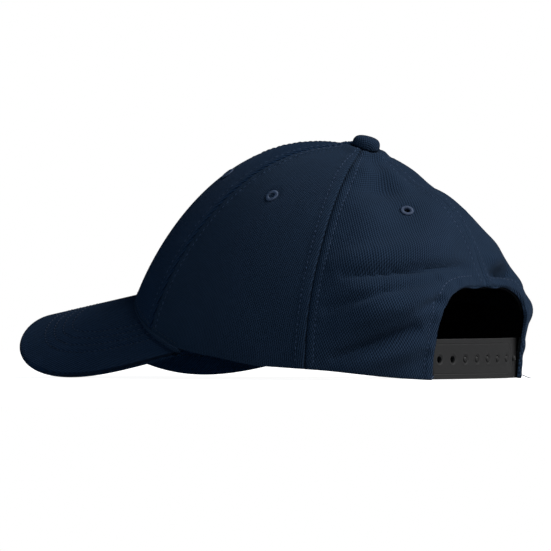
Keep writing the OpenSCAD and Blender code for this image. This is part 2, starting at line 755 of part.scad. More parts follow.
front_panel_left();
right_of() front_panel_left();  // front_panel_right
side_panel_left();
right_of() side_panel_left();  // side_panel_right
back_panel_left();
right_of() back_panel_left();  // back_panel_right
eyelets();
top_button();
button_rivet();
visor_board();
visor_top_cover();
visor_under_cover();
sweatband();
seam_tapes();
front_buckram();
arch_binding();
loop_patches();
strap_tab_left();
strap_tab_right();
strap_left();
strap_right();
impact_shell();
hook_patches();
crown_pad();
front_pad();
side_pad_left();
right_of() side_pad_left();  // side_pad_right
rear_pad();
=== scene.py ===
"""Bump cap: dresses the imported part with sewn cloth, stitching, snap straps, impact shell and pads.

Shapes are worked out in millimetres, in the part's own frame, and become metres in mesh_object().
+Z is up, the visor points towards -Y and the wearer's left is +X. A place on the crown is
(t, s): t is the plan angle in degrees from the front (0) over the left (90) to the rear (180),
negative on the right, and s runs from the rim (0) to the pole (1).
"""
import math

import bpy
import numpy as np
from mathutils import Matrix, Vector
from mathutils.geometry import delaunay_2d_cdt


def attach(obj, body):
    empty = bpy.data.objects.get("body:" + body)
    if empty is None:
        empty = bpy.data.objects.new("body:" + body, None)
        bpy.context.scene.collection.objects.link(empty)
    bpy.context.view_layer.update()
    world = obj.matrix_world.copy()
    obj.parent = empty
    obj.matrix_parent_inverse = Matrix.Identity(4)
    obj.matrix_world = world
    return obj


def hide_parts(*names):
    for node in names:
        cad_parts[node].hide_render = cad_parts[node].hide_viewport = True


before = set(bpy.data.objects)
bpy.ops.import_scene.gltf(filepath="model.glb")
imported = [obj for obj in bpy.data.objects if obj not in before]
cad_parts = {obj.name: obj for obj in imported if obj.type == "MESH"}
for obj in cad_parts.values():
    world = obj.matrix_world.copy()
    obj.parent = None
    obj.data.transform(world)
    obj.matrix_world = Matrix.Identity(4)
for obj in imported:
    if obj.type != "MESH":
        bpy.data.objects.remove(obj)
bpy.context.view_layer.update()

MM = 0.001
DEG = math.pi / 180

# Sizes of the part's source, in millimetres and degrees
CROWN_FRONT, CROWN_REAR, CROWN_W, CROWN_H = 112, 80, 168, 114.5
POLE_BACK, POLE_TILT = 11, 15.5
RIM_FRONT_Z, RIM_SIDE_Z, REAR_SQUARE = 44, 6, 2.7
FRONT_SEAM, BACK_SEAM = 46, 101
REACH, RISE, LEAN = (77, 41.5, 53.5), (25, 49.5, 61), (23, 2.5, -7.5)
PUFF = (0.2, 0.9, 1.5)
ARCH_W, ARCH_H, ARCH_SQUARE = 87, 46, 3.2
PANEL_T, LAYER_GAP = 1.0, 0.4
INNER = PANEL_T + LAYER_GAP
POLE = np.array([0, POLE_BACK, CROWN_H])
POLE_AXIS = np.array([0, math.sin(POLE_TILT * DEG), math.cos(POLE_TILT * DEG)])
CORE = np.array([0, POLE_BACK / 2, CROWN_H / 5])
EYELETS = {"front": (23, 0.59), "side": (70.5, 0.576), "back": (153.5, 0.6)}
# Broad bulge and two hollows of the rear: height, middle as (t, s) and spread
ARCH_FLARE, FLARE_AT, FLARE_SPREAD = 8.5, (130, 0.24), (20, 36, 0.11)
POLE_DIP, DIP_AT, DIP_SPREAD = 5, (180, 0.8), (16.5, 0.1)
CORNER_SLACK, SLACK_AT, SLACK_SPREAD = 5, (146, 0.67), (18.5, 0.2)
# Steps over which slopes are measured
STEP_T, STEP_S = 0.5, 0.004


# Small maths helpers
def unit(v):
    return v / np.linalg.norm(v, axis=-1, keepdims=True)


def signed_pow(v, e):
    return np.sign(v) * np.abs(v) ** e


def bell(v, middle, spread):
    return np.exp(-(((v - middle) / spread) ** 2))


def smooth(v):
    c = np.clip(v, 0, 1)
    return c * c * (3 - 2 * c)


def lerp(a, b, f):
    return a + (b - a) * f


def cols(*parts):
    """Points or coordinates from their columns, all spread to one shape."""
    return np.stack(np.broadcast_arrays(*parts), -1)


def along(points):
    """Length along a line of points, from 0 at the first."""
    steps = np.linalg.norm(np.diff(points, axis=0), axis=-1)
    return np.concatenate([[0], np.cumsum(steps)])


def resample(rows, length, at):
    """Rows of a line, which lie at the lengths given, at other lengths."""
    return cols(*(np.interp(at, length, column) for column in rows.T))


# The crown, as the part's source has it
def spread_out(t, s):
    return np.broadcast_arrays(np.asarray(t, float), np.asarray(s, float))


def from_front(t):
    """Angle from the front on either side, also where t runs past the rear."""
    return 180 - np.abs(180 - np.abs(t))


def by_side(t, values):
    front, side, rear = values
    c = np.cos(t * DEG)
    return side + (front - side) * np.maximum(c, 0) ** 2 + (rear - side) * np.maximum(-c, 0) ** 2


def rim(t):
    c, s = np.cos(t * DEG), np.sin(t * DEG)
    ahead = c > 0
    depth = np.where(ahead, CROWN_FRONT, CROWN_REAR)
    power = 2 / np.where(ahead, 2, REAR_SQUARE)
    z = np.where(ahead, by_side(t, (RIM_FRONT_Z, RIM_SIDE_Z, 0)), RIM_SIDE_Z * s**4)
    return cols(CROWN_W / 2 * signed_pow(s, power), -depth * signed_pow(c, power), z)


def outward(t):
    return unit(rim(t) * np.array([1, 1, 0]))


def smooth_crown(t, s):
    t, s = spread_out(t, s)
    start, out = rim(t), outward(t)
    lean, tilt = by_side(t, LEAN) * DEG, POLE_TILT * DEG
    up = cols(-out[..., 0] * np.sin(lean), -out[..., 1] * np.sin(lean), np.cos(lean))
    away = cols(out[..., 0], out[..., 1] * np.cos(tilt), -out[..., 1] * np.sin(tilt))
    low = start + up * by_side(t, RISE)[..., None]
    high = POLE + away * by_side(t, REACH)[..., None]
    s = s[..., None]
    u = 1 - s
    return u**3 * start + 3 * u * u * s * low + 3 * u * s * s * high + s**3 * POLE


def crown(t, s):
    t, s = spread_out(t, s)
    base = smooth_crown(t, s)
    a = from_front(t)
    front = PUFF[0] * np.sin(np.pi * a / FRONT_SEAM)
    side = PUFF[1] * np.sin(np.pi * (a - FRONT_SEAM) / (BACK_SEAM - FRONT_SEAM))
    back = PUFF[2] * np.sin(np.pi * (a - BACK_SEAM) / (180 - BACK_SEAM))
    puff = np.where(a < FRONT_SEAM, front, np.where(a < BACK_SEAM, side, back))
    before, behind, tall = FLARE_SPREAD
    wide = np.where(a < FLARE_AT[0], before, behind)
    flare = ARCH_FLARE * bell(a, FLARE_AT[0], wide) * bell(s, FLARE_AT[1], tall)
    dip = POLE_DIP * bell(a, DIP_AT[0], DIP_SPREAD[0]) * bell(s, DIP_AT[1], DIP_SPREAD[1])
    slack = CORNER_SLACK * bell(a, SLACK_AT[0], SLACK_SPREAD[0]) * bell(s, SLACK_AT[1], SLACK_SPREAD[1])
    swell = puff * np.sin(np.pi * s) - dip - slack
    return base + unit(base - CORE) * swell[..., None] + outward(t) * flare[..., None]


def normal_of(surface, t, s):
    across = surface(t + STEP_T, s) - surface(t - STEP_T, s)
    upward = surface(t, s + STEP_S) - surface(t, s - STEP_S)
    return unit(np.cross(across, upward))


# Soft folds of the worn cloth: height (mm), half width (mm) and the line it follows as (t, s)
FOLDS_LEFT = [
    (-2.0, 5.0, [(122, 0.312), (134, 0.336), (146, 0.348), (159, 0.352), (172, 0.350)]),
    (-3.7, 2.2, [(114, 0.317), (125, 0.334), (134, 0.346), (146, 0.354), (159, 0.358), (176, 0.359)]),
    (2.6, 7.0, [(120, 0.39), (130, 0.40), (148, 0.425), (168, 0.435)]),
    (2.2, 7.0, [(106, 0.33), (116, 0.365), (127, 0.385)]),
    (-3.4, 2.9, [(108, 0.199), (118, 0.235), (131, 0.275), (146, 0.296), (158, 0.318)]),
    (1.6, 4.2, [(114, 0.145), (127, 0.191), (146, 0.238), (156, 0.27)]),
    (-1.8, 5.0, [(106, 0.02), (121, 0.078), (133, 0.12), (143, 0.15)]),
    (-3.0, 2.4, [(112, 0.045), (124, 0.085), (136, 0.124), (146, 0.152)]),
    (-2.2, 2.6, [(147, 0.213), (154, 0.232), (158, 0.244)]),
    (3.2, 5.5, [(118, 0.02), (130, 0.05), (142, 0.085), (150, 0.115)]),
    (-2.0, 6.0, [(112, 0.67), (126, 0.695), (142, 0.715), (157, 0.72), (172, 0.70)]),
    (-2.6, 8.0, [(142, 0.88), (138, 0.80), (132, 0.72), (126, 0.64)]),
    (2.0, 6.0, [(112, 0.78), (126, 0.80), (142, 0.815), (157, 0.825), (172, 0.81)]),
]
FOLDS_RIGHT = [
    (-5.4, 3.0, [(179, 0.322), (172, 0.332), (164, 0.337), (155, 0.335)]),
    (-4.0, 2.8, [(168, 0.338), (159, 0.336), (150, 0.33)]),
    (2.8, 4.4, [(179, 0.372), (172, 0.38), (164, 0.382)]),
    (1.2, 7.0, [(118, 0.40), (142, 0.43), (168, 0.44)]),
    (-2.8, 3.4, [(109, 0.12), (124, 0.2), (140, 0.25), (150, 0.275)]),
    (2.0, 4.5, [(112, 0.08), (128, 0.15), (146, 0.21)]),
    (-2.2, 3.0, [(110, 0.02), (126, 0.07), (140, 0.12)]),
    (-1.4, 7.0, [(128, 0.72), (146, 0.74), (166, 0.76)]),
]
FOLD_CLEAR, FOLD_STEPS = 7, 97
COLLAR, COLLAR_R, COLLAR_W = 1.6, 10, 3


def fold_height(t, s):
    """How far the folds lift the cloth, which is nothing at the seams, and its swell round the button."""
    t, s = spread_out(t, s)
    a, here = from_front(t), crown(t, s)
    height = np.zeros(t.shape)
    for side, folds in ((1, FOLDS_LEFT), (-1, FOLDS_RIGHT)):
        chosen = (np.where(np.abs(t) > 180, -np.sign(t), np.sign(t)) == side) & (a > BACK_SEAM)
        if not chosen.any():
            continue
        points = here[chosen]
        for lift, half, knots in folds:
            f = np.linspace(0, len(knots) - 1, FOLD_STEPS)
            line = resample(np.array(knots, float), range(len(knots)), f)
            gap = np.linalg.norm(points[:, None] - crown(side * line[:, 0], line[:, 1])[None], axis=-1)
            end = np.sin(np.pi * (0.1 + 0.8 * gap.argmin(1) / FOLD_STEPS)) ** 0.7
            height[chosen] += lift * bell(gap.min(1), 0, half) * end
    collar = COLLAR * bell(np.linalg.norm(here - POLE, axis=-1), COLLAR_R, COLLAR_W)
    return height * smooth(np.minimum(a - BACK_SEAM, 180 - a) / FOLD_CLEAR) + collar


def cloth(t, s, depth=0.0):
    """Point a depth under the folded cloth's outer face."""
    lift = fold_height(t, s) - depth
    return crown(t, s) + normal_of(crown, t, s) * lift[..., None]


def climb(t, height):
    """s at a straight height over the rim, at each angle."""
    ss = np.linspace(0, 0.9, 500)
    found = []
    for angle, want in np.broadcast(np.atleast_1d(t), height):
        far = np.linalg.norm(crown(angle, ss) - crown(angle, 0.0), axis=-1)
        found.append(np.interp(want, np.maximum.accumulate(far), ss))
    return np.array(found) if np.ndim(t) else found[0]


def turn(length, t, s):
    """Angle that a length takes up round the crown."""
    return length / np.linalg.norm(crown(t + STEP_T, s) - crown(t - STEP_T, s), axis=-1)


def arch_turn(grow=0.0):
    return math.asin(((ARCH_W + 2 * grow) / CROWN_W) ** (REAR_SQUARE / 2)) / DEG


ARCH_CORNER = 180 - arch_turn()
ARCH_TOP = climb(180.0, ARCH_H)


def arch_edge(q, grow=0.0):
    """Edge of the rear opening, grown by a margin, over q from its corner (0) to its top (90)."""
    t = 180 - arch_turn(grow) * np.cos(q * DEG) ** (2 / ARCH_SQUARE)
    s = climb(180.0, ARCH_H + grow) * np.sin(q * DEG) ** (2 / ARCH_SQUARE)
    return t, s


# Mesh helpers: a shape is its points and its faces
def grid_quads(ids):
    return np.stack([ids[:-1, :-1], ids[1:, :-1], ids[1:, 1:], ids[:-1, 1:]], -1).reshape(-1, 4)


def closed_grid(outer, inner):
    """Closed solid between two point grids, whose first axis x second axis points outward."""
    n, m = outer.shape[:2]
    top = np.arange(n * m).reshape(n, m)
    low = top + n * m

    def wall(a, b):
        return np.stack([a[:-1], a[1:], b[1:], b[:-1]], -1)

    faces = np.concatenate([
        grid_quads(top), grid_quads(low)[:, ::-1],
        wall(top[0], low[0]), wall(low[-1], top[-1]),
        wall(low[:, 0], top[:, 0]), wall(top[:, -1], low[:, -1]),
    ])
    return np.concatenate([outer.reshape(-1, 3), inner.reshape(-1, 3)]), faces.tolist()


def merged(shapes):
    """Several shapes as one."""
    points, faces, count = [], [], 0
    for some, around in shapes:
        points.append(some)
        faces += [[i + count for i in face] for face in around]
        count += len(some)
    return np.concatenate(points), faces


def placed(shape, axes, origin):
    return shape[0] @ axes + origin, shape[1]


def mesh_object(name, shape):
    points, faces = shape
    mesh = bpy.data.meshes.new(name)
    mesh.from_pydata((points * MM).tolist(), [], faces)
    obj = bpy.data.objects.new(name, mesh)
    bpy.context.scene.collection.objects.link(obj)
    return obj


def piece(name, shape, material, body, replaces=(), weave=None, sharp=50):
    """Smooth piece of the part, which rides on a body. Its weave repeats over each set of its points."""
    obj = mesh_object(name, shape)
    mesh = obj.data
    mesh.validate()
    mesh.materials.append(material)
    mesh.shade_smooth()
    if sharp:
        mesh.set_sharp_from_angle(angle=sharp * DEG)
    if weave is not None:
        weave = np.asarray(weave, np.float32).reshape(-1, 2)
        weave = np.tile(weave, (len(mesh.vertices) // len(weave), 1))
        corner = np.zeros(len(mesh.loops), np.int32)
        mesh.loops.foreach_get("vertex_index", corner)
        mesh.uv_layers.new(name="weave").uv.foreach_set("vector", weave[corner].ravel())
    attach(obj, body)
    if replaces:
        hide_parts(*replaces)
    return obj


LEAST_CUT = 10
declared = []


def cloth_cut(obj, held, rests_on, *grids):
    """Works out the flat width, length and area of a piece of cloth's cut over the grids of its face; nothing
    uses them.
    """
    width = max(along(grid[:, j])[-1] for grid in grids for j in range(grid.shape[1]))
    width = max(width, LEAST_CUT)
    length = sum(max(along(line)[-1] for line in grid) for grid in grids)
    area = 0
    for grid in grids:
        cross = np.cross(grid[1:, 1:] - grid[:-1, :-1], grid[:-1, 1:] - grid[1:, :-1])
        area += np.linalg.norm(cross, axis=-1).sum() / 2
    area = min(area, width * length)


def cut(obj, shape):
    """Takes a solid out of a piece."""
    cutter = mesh_object("cutter", shape)
    modifier = obj.modifiers.new("cut", "BOOLEAN")
    modifier.operation, modifier.object, modifier.solver = "DIFFERENCE", cutter, "EXACT"
    depsgraph = bpy.context.evaluated_depsgraph_get()
    made = bpy.data.meshes.new_from_object(obj.evaluated_get(depsgraph))
    obj.modifiers.remove(modifier)
    used = obj.data, cutter.data
    obj.data = made
    made.name = obj.name
    bpy.data.objects.remove(cutter)
    for mesh in used:
        bpy.data.meshes.remove(mesh)


def frame_at(up, ahead):
    """Rows x, y, z of a local frame whose z is up."""
    z = unit(np.asarray(up, float))
    x = unit(ahead - z * (ahead @ z))
    return np.stack([x, np.cross(z, x), z])


def lathe(profile, count, ripple=None):
    """Grid of a surface of revolution from (radius, height) points."""
    angle = np.linspace(0, 2 * np.pi, count, endpoint=False)[:, None]
    r, z = np.array(profile, float).T[:, None] * np.ones((count, 1))
    if ripple:
        r, z = ripple(angle, r, z)
    return cols(r * np.cos(angle), r * np.sin(angle), z)[:, ::-1]


def ring_solid(grid):
    """Closed ring: both axes of the grid join up."""
    n, m = grid.shape[:2]
    ids = np.arange(n * m).reshape(n, m)
    ids = np.vstack([ids, ids[:1]])
    return grid.reshape(-1, 3), grid_quads(np.hstack([ids, ids[:, :1]])).tolist()


def dome_solid(grid):
    """Closed solid from a lathe whose profile starts and ends on the axis."""
    n, m = grid.shape[:2]
    last = n * (m - 2)
    points = np.concatenate([grid[:, 1:-1].reshape(-1, 3), grid[0, :1], grid[0, -1:]])
    ids = np.arange(last).reshape(n, m - 2)
    ids = np.vstack([ids, ids[:1]])
    faces = grid_quads(ids).tolist()
    for a, b in zip(ids[:-1].tolist(), ids[1:].tolist()):
        faces += [[last, a[0], b[0]], [last + 1, b[-1], a[-1]]]
    return points, faces


def tube_faces(count, rings, sides):
    """Faces of separate closed tubes, whose points run ring by ring."""
    ids = np.arange(count * rings * sides).reshape(count, rings, sides)
    nxt = np.roll(ids, -1, axis=2)
    quads = np.stack([ids[:, 1:], nxt[:, 1:], nxt[:, :-1], ids[:, :-1]], -1).reshape(-1, 4)
    return quads.tolist() + ids[:, 0].tolist() + ids[:, -1, ::-1].tolist()


def ringed(path, side, over, radii, sides):
    """Points of a ring round each point of a path."""
    a = np.arange(sides) * 2 * np.pi / sides
    radii = np.asarray(radii)[:, None]
    ring = side[:, None] * (radii * np.cos(a))[..., None] + over[:, None] * (radii * np.sin(a))[..., None]
    return (path[:, None] + ring).reshape(-1, 3)


def tube(path, radii, up, sides):
    """Closed round tube along points, with a radius at each."""
    d = unit(np.gradient(path, axis=0))
    side = unit(np.cross(d, up))
    return ringed(path, side, np.cross(side, d), radii, sides), tube_faces(1, len(path), sides)


# Thread: rows of separate stitches that follow a line on the cloth
STITCH, STITCH_GAP, THREAD_R, STITCH_LIFT, STITCH_SINK = 2.1, 0.9, 0.24, 0.1, 0.1
RINGS, SIDES, LOOK = 5, 6, 0.2


def stitch_row(path, up, stitch=STITCH, gap=STITCH_GAP, radius=THREAD_R, lift=STITCH_LIFT):
    length = along(path)
    count = int((length[-1] + gap) / (stitch + gap))
    slack = (length[-1] - count * (stitch + gap) + gap) / 2
    starts = slack + np.arange(count) * (stitch + gap)
    f = np.linspace(0, 1, RINGS)
    at = (starts[:, None] + stitch * f).ravel()
    n = unit(resample(up, length, at))
    ahead, behind = (resample(path, length, np.clip(at + d, 0, length[-1])) for d in (LOOK, -LOOK))
    rise = np.tile(lift * np.sin(np.pi * f) ** 0.6 - STITCH_SINK, count)
    fat = np.tile(radius * (0.55 + 0.45 * np.sin(np.pi * f) ** 0.5), count)
    middle = resample(path, length, at) + n * rise[:, None]
    side = unit(np.cross(unit(ahead - behind), n))
    return ringed(middle, side, n, fat, SIDES), tube_faces(count, RINGS, SIDES)


def sewn(name, rows, material):
    """Rows of stitches as one piece, with the share along each stitch as its weave coordinate."""
    share = np.repeat(np.linspace(0, 1, RINGS), SIDES)
    return piece(name, merged(rows), material, "cap", weave=cols(share, 0))


# Materials: all of them procedural
def linear(rgb):
    c = np.array(rgb) / 255
    return tuple(np.where(c <= 0.04045, c / 12.92, ((c + 0.055) / 1.055) ** 2.4)) + (1.0,)


class Nodes:
    """A node tree and short ways to add to it."""

    def __init__(self, tree):
        self.tree = tree

    def plug(self, node, **inputs):
        """Sets or links inputs, by their names or by number as i0, i1 and so on."""
        for key, value in inputs.items():
            socket = node.inputs[int(key[1:]) if key[1:].isdigit() else key.replace("_", " ")]
            if isinstance(value, bpy.types.NodeSocket):
                self.tree.links.new(value, socket)
            else:
                socket.default_value = value
        return node

    def add(self, kind, settings=None, **inputs):
        node = self.tree.nodes.new("ShaderNode" + kind)
        for key, value in (settings or {}).items():
            setattr(node, key, value)
        return self.plug(node, **inputs)

    def math(self, operation, *values):
        inputs = {f"i{k}": value for k, value in enumerate(values)}
        return self.add("Math", {"operation": operation}, **inputs).outputs[0]

    def mixed(self, a, share_a, b, share_b):
        return self.math("ADD", self.math("MULTIPLY", a, share_a), self.math("MULTIPLY", b, share_b))


class Shader(Nodes):
    """A material, its patterns and its finish."""

    def __init__(self, name, roughness, **sockets):
        self.material = bpy.data.materials.new(name)
        self.material.use_nodes = True
        super().__init__(self.material.node_tree)
        self.bsdf = self.plug(self.tree.nodes["Principled BSDF"], Roughness=roughness, **sockets)

    def on_cloth(self):
        return self.add("UVMap", {"uv_map": "weave"}).outputs["UV"]

    def on_object(self):
        return self.add("TexCoord").outputs["Object"]

    def wave(self, place, degrees, pitch, distortion, detail_scale):
        turned = self.add("Mapping", Vector=place, Rotation=(0, 0, degrees * DEG))
        return self.add(
            "TexWave", {"wave_type": "BANDS", "bands_direction": "X"},
            Vector=turned.outputs["Vector"], Scale=2 * math.pi / 20 / pitch,
            Distortion=distortion, Detail=1.0, Detail_Scale=detail_scale,
        ).outputs["Fac"]

    def noise(self, place, scale, detail=3.0):
        return self.add("TexNoise", Vector=place, Scale=scale, Detail=detail).outputs["Fac"]

    def finish(self, tone, dark, light, height, depth, strength):
        """Colours between dark and light by tone, and relief by height."""
        ramp = self.add("ValToRGB", Fac=tone)
        for element, colour in zip(ramp.color_ramp.elements, (dark, light)):
            element.color = linear(colour)
        bump = self.add("Bump", Height=height, Distance=depth, Strength=strength)
        self.plug(self.bsdf, Base_Color=ramp.outputs["Color"], Normal=bump.outputs["Normal"])
        return self.material


CLOTH_ROUGH, WEAVE_DEPTH, SHEEN_TINT = 0.9, 0.0005, (150, 178, 215)
THREAD_ROUGH, TWIST_DEPTH, TWIST_PITCH = 0.6, 0.00004, 0.0004


def woven(name, dark, light, ribs, cross, pitch=1.1, yarns=0.4, sheen=0.04):
    """Twill: raised ribs at an angle, crossed by finer yarns, with a slow drift of the dye."""
    shader = Shader(name, CLOTH_ROUGH, Sheen_Weight=sheen, Sheen_Roughness=0.45,
                    Sheen_Tint=linear(SHEEN_TINT), Specular_IOR_Level=0.03)
    place = shader.on_cloth()
    rib = shader.wave(place, ribs, pitch, 0.9, 0.5)
    yarn = shader.wave(place, cross, pitch * 0.92, 0.9, 0.6)
    height = shader.mixed(rib, 1 - yarns, yarn, yarns)
    tone = shader.mixed(height, 0.8, shader.noise(place, 0.05, 4.0), 0.22)
    return shader.finish(tone, dark, light, height, WEAVE_DEPTH, 0.8)


def thread(name, dark, light):
    """Sewing thread, with a painted highlight in the middle of each stitch and painted shade at its ends,
    where it dives into the cloth.
    """
    shader = Shader(name, THREAD_ROUGH, Specular_IOR_Level=0.15)
    share = shader.add("SeparateXYZ", Vector=shader.on_cloth()).outputs["X"]
    aside = shader.math("ABSOLUTE", shader.math("MULTIPLY_ADD", share, 2.0, -1.0))
    # Painted shade at both ends of a stitch, rising to a painted highlight in its middle
    painted_light = shader.math("MULTIPLY", shader.math("SUBTRACT", 1.0, aside), 1.7)
    twist = shader.wave(shader.on_object(), 35, TWIST_PITCH, 0.5, 1.5)
    tone = shader.math("MULTIPLY", painted_light, shader.math("MULTIPLY_ADD", twist, 0.3, 0.7))
    return shader.finish(tone, dark, light, twist, TWIST_DEPTH, 0.6)


def grained(name, dark, light, roughness, scale, depth, **sockets):
    """Moulded or foamed surface: a fine grain in colour and height."""
    shader = Shader(name, roughness, **sockets)
    place = shader.on_object()
    fine = shader.noise(place, scale)
    tone = shader.mixed(fine, 0.5, shader.noise(place, scale / 40), 0.5)
    return shader.finish(tone, dark, light, fine, depth, 0.7)


NAVY_DARK, NAVY_LIGHT = (5, 10, 19), (31, 46, 65)
TWILL_FRONT = woven("navy_twill_front", (3, 9, 19), (25, 43, 66), 3, 62, yarns=0.3)
TWILL_SIDE = woven("navy_twill_side", NAVY_DARK, NAVY_LIGHT, -3, 56, yarns=0.3)
TWILL_BACK = woven("navy_twill_back", NAVY_DARK, NAVY_LIGHT, -32, 52, yarns=0.48)
# The visor's top cover: the cap's navy twill made darker, painted shade
TWILL_VISOR_PAINTED_SHADE = woven("navy_twill_visor_painted_shade", (3, 8, 17), (20, 37, 59), 35, -40, 1.0, yarns=0.35)
# The visor's under cover: the same twill made lighter, painted light in the shade below the visor
TWILL_UNDER_PAINTED_LIGHT = woven("navy_twill_under_painted_light", (6, 15, 29), (37, 63, 95), 35, -40, 1.0, yarns=0.35)
REVERSE = woven("twill_reverse", (3, 5, 9), (9, 13, 19), -22, 50, sheen=0.0)
# Each thread() material's dark colour is its painted shade at the stitch ends, its light colour the painted
# highlight in the middle
THREAD = thread("navy_thread", (3, 7, 14), (38, 53, 76))
EYELET_THREAD = grained("eyelet_thread", (18, 29, 46), (58, 72, 96), 0.6, 9000, 0.00004,
                        Specular_IOR_Level=0.2)
DARK_THREAD = thread("dark_thread", (2, 4, 8), (16, 26, 41))
VISOR_THREAD = thread("visor_thread", (2, 5, 11), (27, 40, 60))
BAND_CLOTH = woven("black_sweatband", (2, 2, 2), (7, 7, 8), 90, 0, 0.8, sheen=0.01)
TAPE_CLOTH = woven("black_tape", (4, 4, 5), (14, 14, 16), 45, -45, 0.9, sheen=0.02)
BUCKRAM = woven("buckram_mesh", (150, 150, 143), (205, 205, 198), 0, 90, 1.2, yarns=0.5, sheen=0.0)
FUZZ = grained("hook_and_loop", (8, 8, 9), (34, 34, 37), 0.95, 2600, 0.0004, Specular_IOR_Level=0.1)
STRAP = grained("strap_plastic", (25, 25, 25), (33, 33, 34), 0.6, 5000, 0.00002, Specular_IOR_Level=0.15)
SHELL = grained("shell_plastic", (12, 12, 13), (26, 26, 28), 0.48, 3200, 0.00006)
FOAM = grained("pad_foam", (22, 22, 24), (44, 44, 47), 0.95, 2400, 0.0003, Specular_IOR_Level=0.1)
STEEL = grained("rivet_steel", (150, 152, 156), (196, 198, 202), 0.3, 2500, 0.00002, Metallic=1.0)
BOARD = grained("visor_board", (70, 70, 72), (92, 92, 95), 0.6, 1500, 0.00004)

# Crown panels: rows run from the lower edge to the pole, columns from seam to seam
SEAM_STITCH, HEM_STITCH, RIM_STITCH = 4.8, 5.6, 2.4
PUCKER, HEM_LUMP, HEM_WANDER = 0.14, 0.45, 0.5
EDGE_STEPS = [0, 0.3, 0.65, 1.05, 1.6, 2.3, 3.1, 3.8, 4.3, 4.8, 5.3, 6.0, 7.0, 8.2]
LOW_STEPS, LOW_HEIGHT = [0, 0.35, 0.8, 1.3, 1.8, 2.4, 3.0, 3.8, 4.6, 5.1, 5.6, 6.1, 6.8, 7.8, 9], 110
EDGE_RISE, EDGE_AT, EDGE_SPREAD = 0.02, 76, 13
POLE_STOP, PANEL_ROWS, FINE, NARROW, CREST, SQUEEZE = 0.982, 88, 241, 42, 115, 1.35
DENT, DENT_R, DENT_W, RIM_ROLL = 0.45, 4.0, 0.8, 0.4
PRESSED, BLOCK = 2, 2000
FADE_FROM, FADE_OVER, SEAM_LEFT = 0.9, 0.08, 0.6
REAR_STEP, OUTLINE_STEP, HEM_ROOM, HEM_LAST = 1.05, 0.45, 8.4, 9.2
EYELET_HOLE_R, VISOR_SEAM_END = 1.7, 60


def base_line(t0, t1, arch):
    """Lower edge of a panel as (t, s), closely spaced."""
    if not arch:
        t = np.linspace(t0, t1, FINE)
        return cols(t, EDGE_RISE * bell(np.abs(t), EDGE_AT, EDGE_SPREAD))
    beside = cols(np.linspace(BACK_SEAM, ARCH_CORNER, 160)[:-1], 0)
    line = np.concatenate([beside, cols(*arch_edge(np.linspace(0, 90, 240)))])
    return line if t1 > 0 else line[::-1] * (-1, 1)


def top_line(t0, t1):
    """Angles at the pole end, closer together where the rear's squareness stretches them."""
    f = np.linspace(0, 1, FINE)
    if t1 == 180:
        return 180 - (180 - t0) * (1 - f) ** SQUEEZE
    if t0 == -180:
        return -180 + (t1 + 180) * f**SQUEEZE
    return lerp(t0, t1, f)


def spaced(width, columns):
    """Offsets across a row: close to both seams at fixed distances, even in between."""
    edge = np.array(EDGE_STEPS) * min(1, width / NARROW)
    middle = np.linspace(edge[-1], width - edge[-1], columns)[1:-1]
    return np.concatenate([edge, middle, width - edge[::-1]])


def seam_profile(d, over):
    """Height over the cloth at a distance from a seam: the felled allowance and a stitched dip.

    over is 1 on the panel whose edge lies on top, -1 on the one that dives under it, 0 where they
    meet in a groove and PRESSED where both lie flat.
    """
    allowance = 1 - smooth((d - SEAM_STITCH) / 1.6)
    if over == PRESSED:
        raised = 0.45 * allowance - 0.2 * bell(d, 0, 0.35)
    elif over > 0:
        raised = 0.6 * allowance - 0.4 * bell(d, 0, 0.4)
    elif over < 0:
        raised = 0.2 * allowance - 0.6 * (1 - smooth(d / 2.6)) - 0.4 * bell(d, 0, 0.6)
    else:
        raised = 0.4 * smooth(d / 1.4) * allowance - 0.75 * bell(d, 0, 0.75)
    return raised - 0.35 * bell(d, SEAM_STITCH, 0.6)


def hem_profile(d):
    """Height at a distance from the rear opening's edge: a rolled edge, a double layer, a stitched dip."""
    raised = 0.6 * smooth(d / 1.2) * (1 - smooth((d - HEM_STITCH) / 1.4))
    return raised - 0.6 * bell(d, 0, 0.6) - 0.45 * bell(d, HEM_STITCH, 0.7)


def wobble(length):
    """Uneven wave between -1 and 1 over a length, as cloth puckers along its stitching."""
    return 0.6 * np.sin(length / 1.45 + 1) + 0.4 * np.sin(length / 0.83 + 2.2)


def nearest(points, line):
    """Distance of each point to a line and the length along it there."""
    flat, length = points.reshape(-1, 3), along(line)
    gap, at = np.empty(len(flat)), np.empty(len(flat))
    for i in range(0, len(flat), BLOCK):
        far = np.linalg.norm(flat[i:i + BLOCK, None] - line[None], axis=-1)
        gap[i:i + BLOCK], at[i:i + BLOCK] = far.min(1), length[far.argmin(1)]
    return gap.reshape(points.shape[:-1]), at.reshape(points.shape[:-1])


def distance_to(points, line):
    return nearest(points, line)[0]


def solid_sheet(tris, count):
    """Faces of a closed sheet from the triangles of its first face, over two sets of count points."""
    pairs = {tuple(e) for k in range(3) for e in tris[:, [k, (k + 1) % 3]].tolist()}
    walls = [[a, a + count, b + count, b] for a, b in pairs if (b, a) not in pairs]
    return tris.tolist() + (tris[:, ::-1] + count).tolist() + walls


def triangulated(flat, edges):
    """Anticlockwise triangles over flat points within loops of edges, and which point each corner was."""
    co, _, tris, was, *_ = delaunay_2d_cdt([Vector(p) for p in flat], edges, [], 1, 1e-5)
    co = np.array([tuple(c) for c in co])
    tris = np.array([t for t in tris if len(t) == 3])
    a, b, c = (co[tris[:, k]] for k in range(3))
    clockwise = (b - a)[:, 0] * (c - a)[:, 1] - (b - a)[:, 1] * (c - a)[:, 0] < 0
    tris[clockwise] = tris[clockwise][:, ::-1]
    return co, tris, np.array([w[0] if w else -1 for w in was])


def laid_flat(t, s):
    """Rear panel coordinates in mm: length round the crown from the side seam, and height."""
    line = crown(lerp(BACK_SEAM, t, np.linspace(0, 1, 61)[:, None]), s)
    return cols(np.linalg.norm(np.diff(line, axis=0), axis=-1).sum(0), CREST * s)


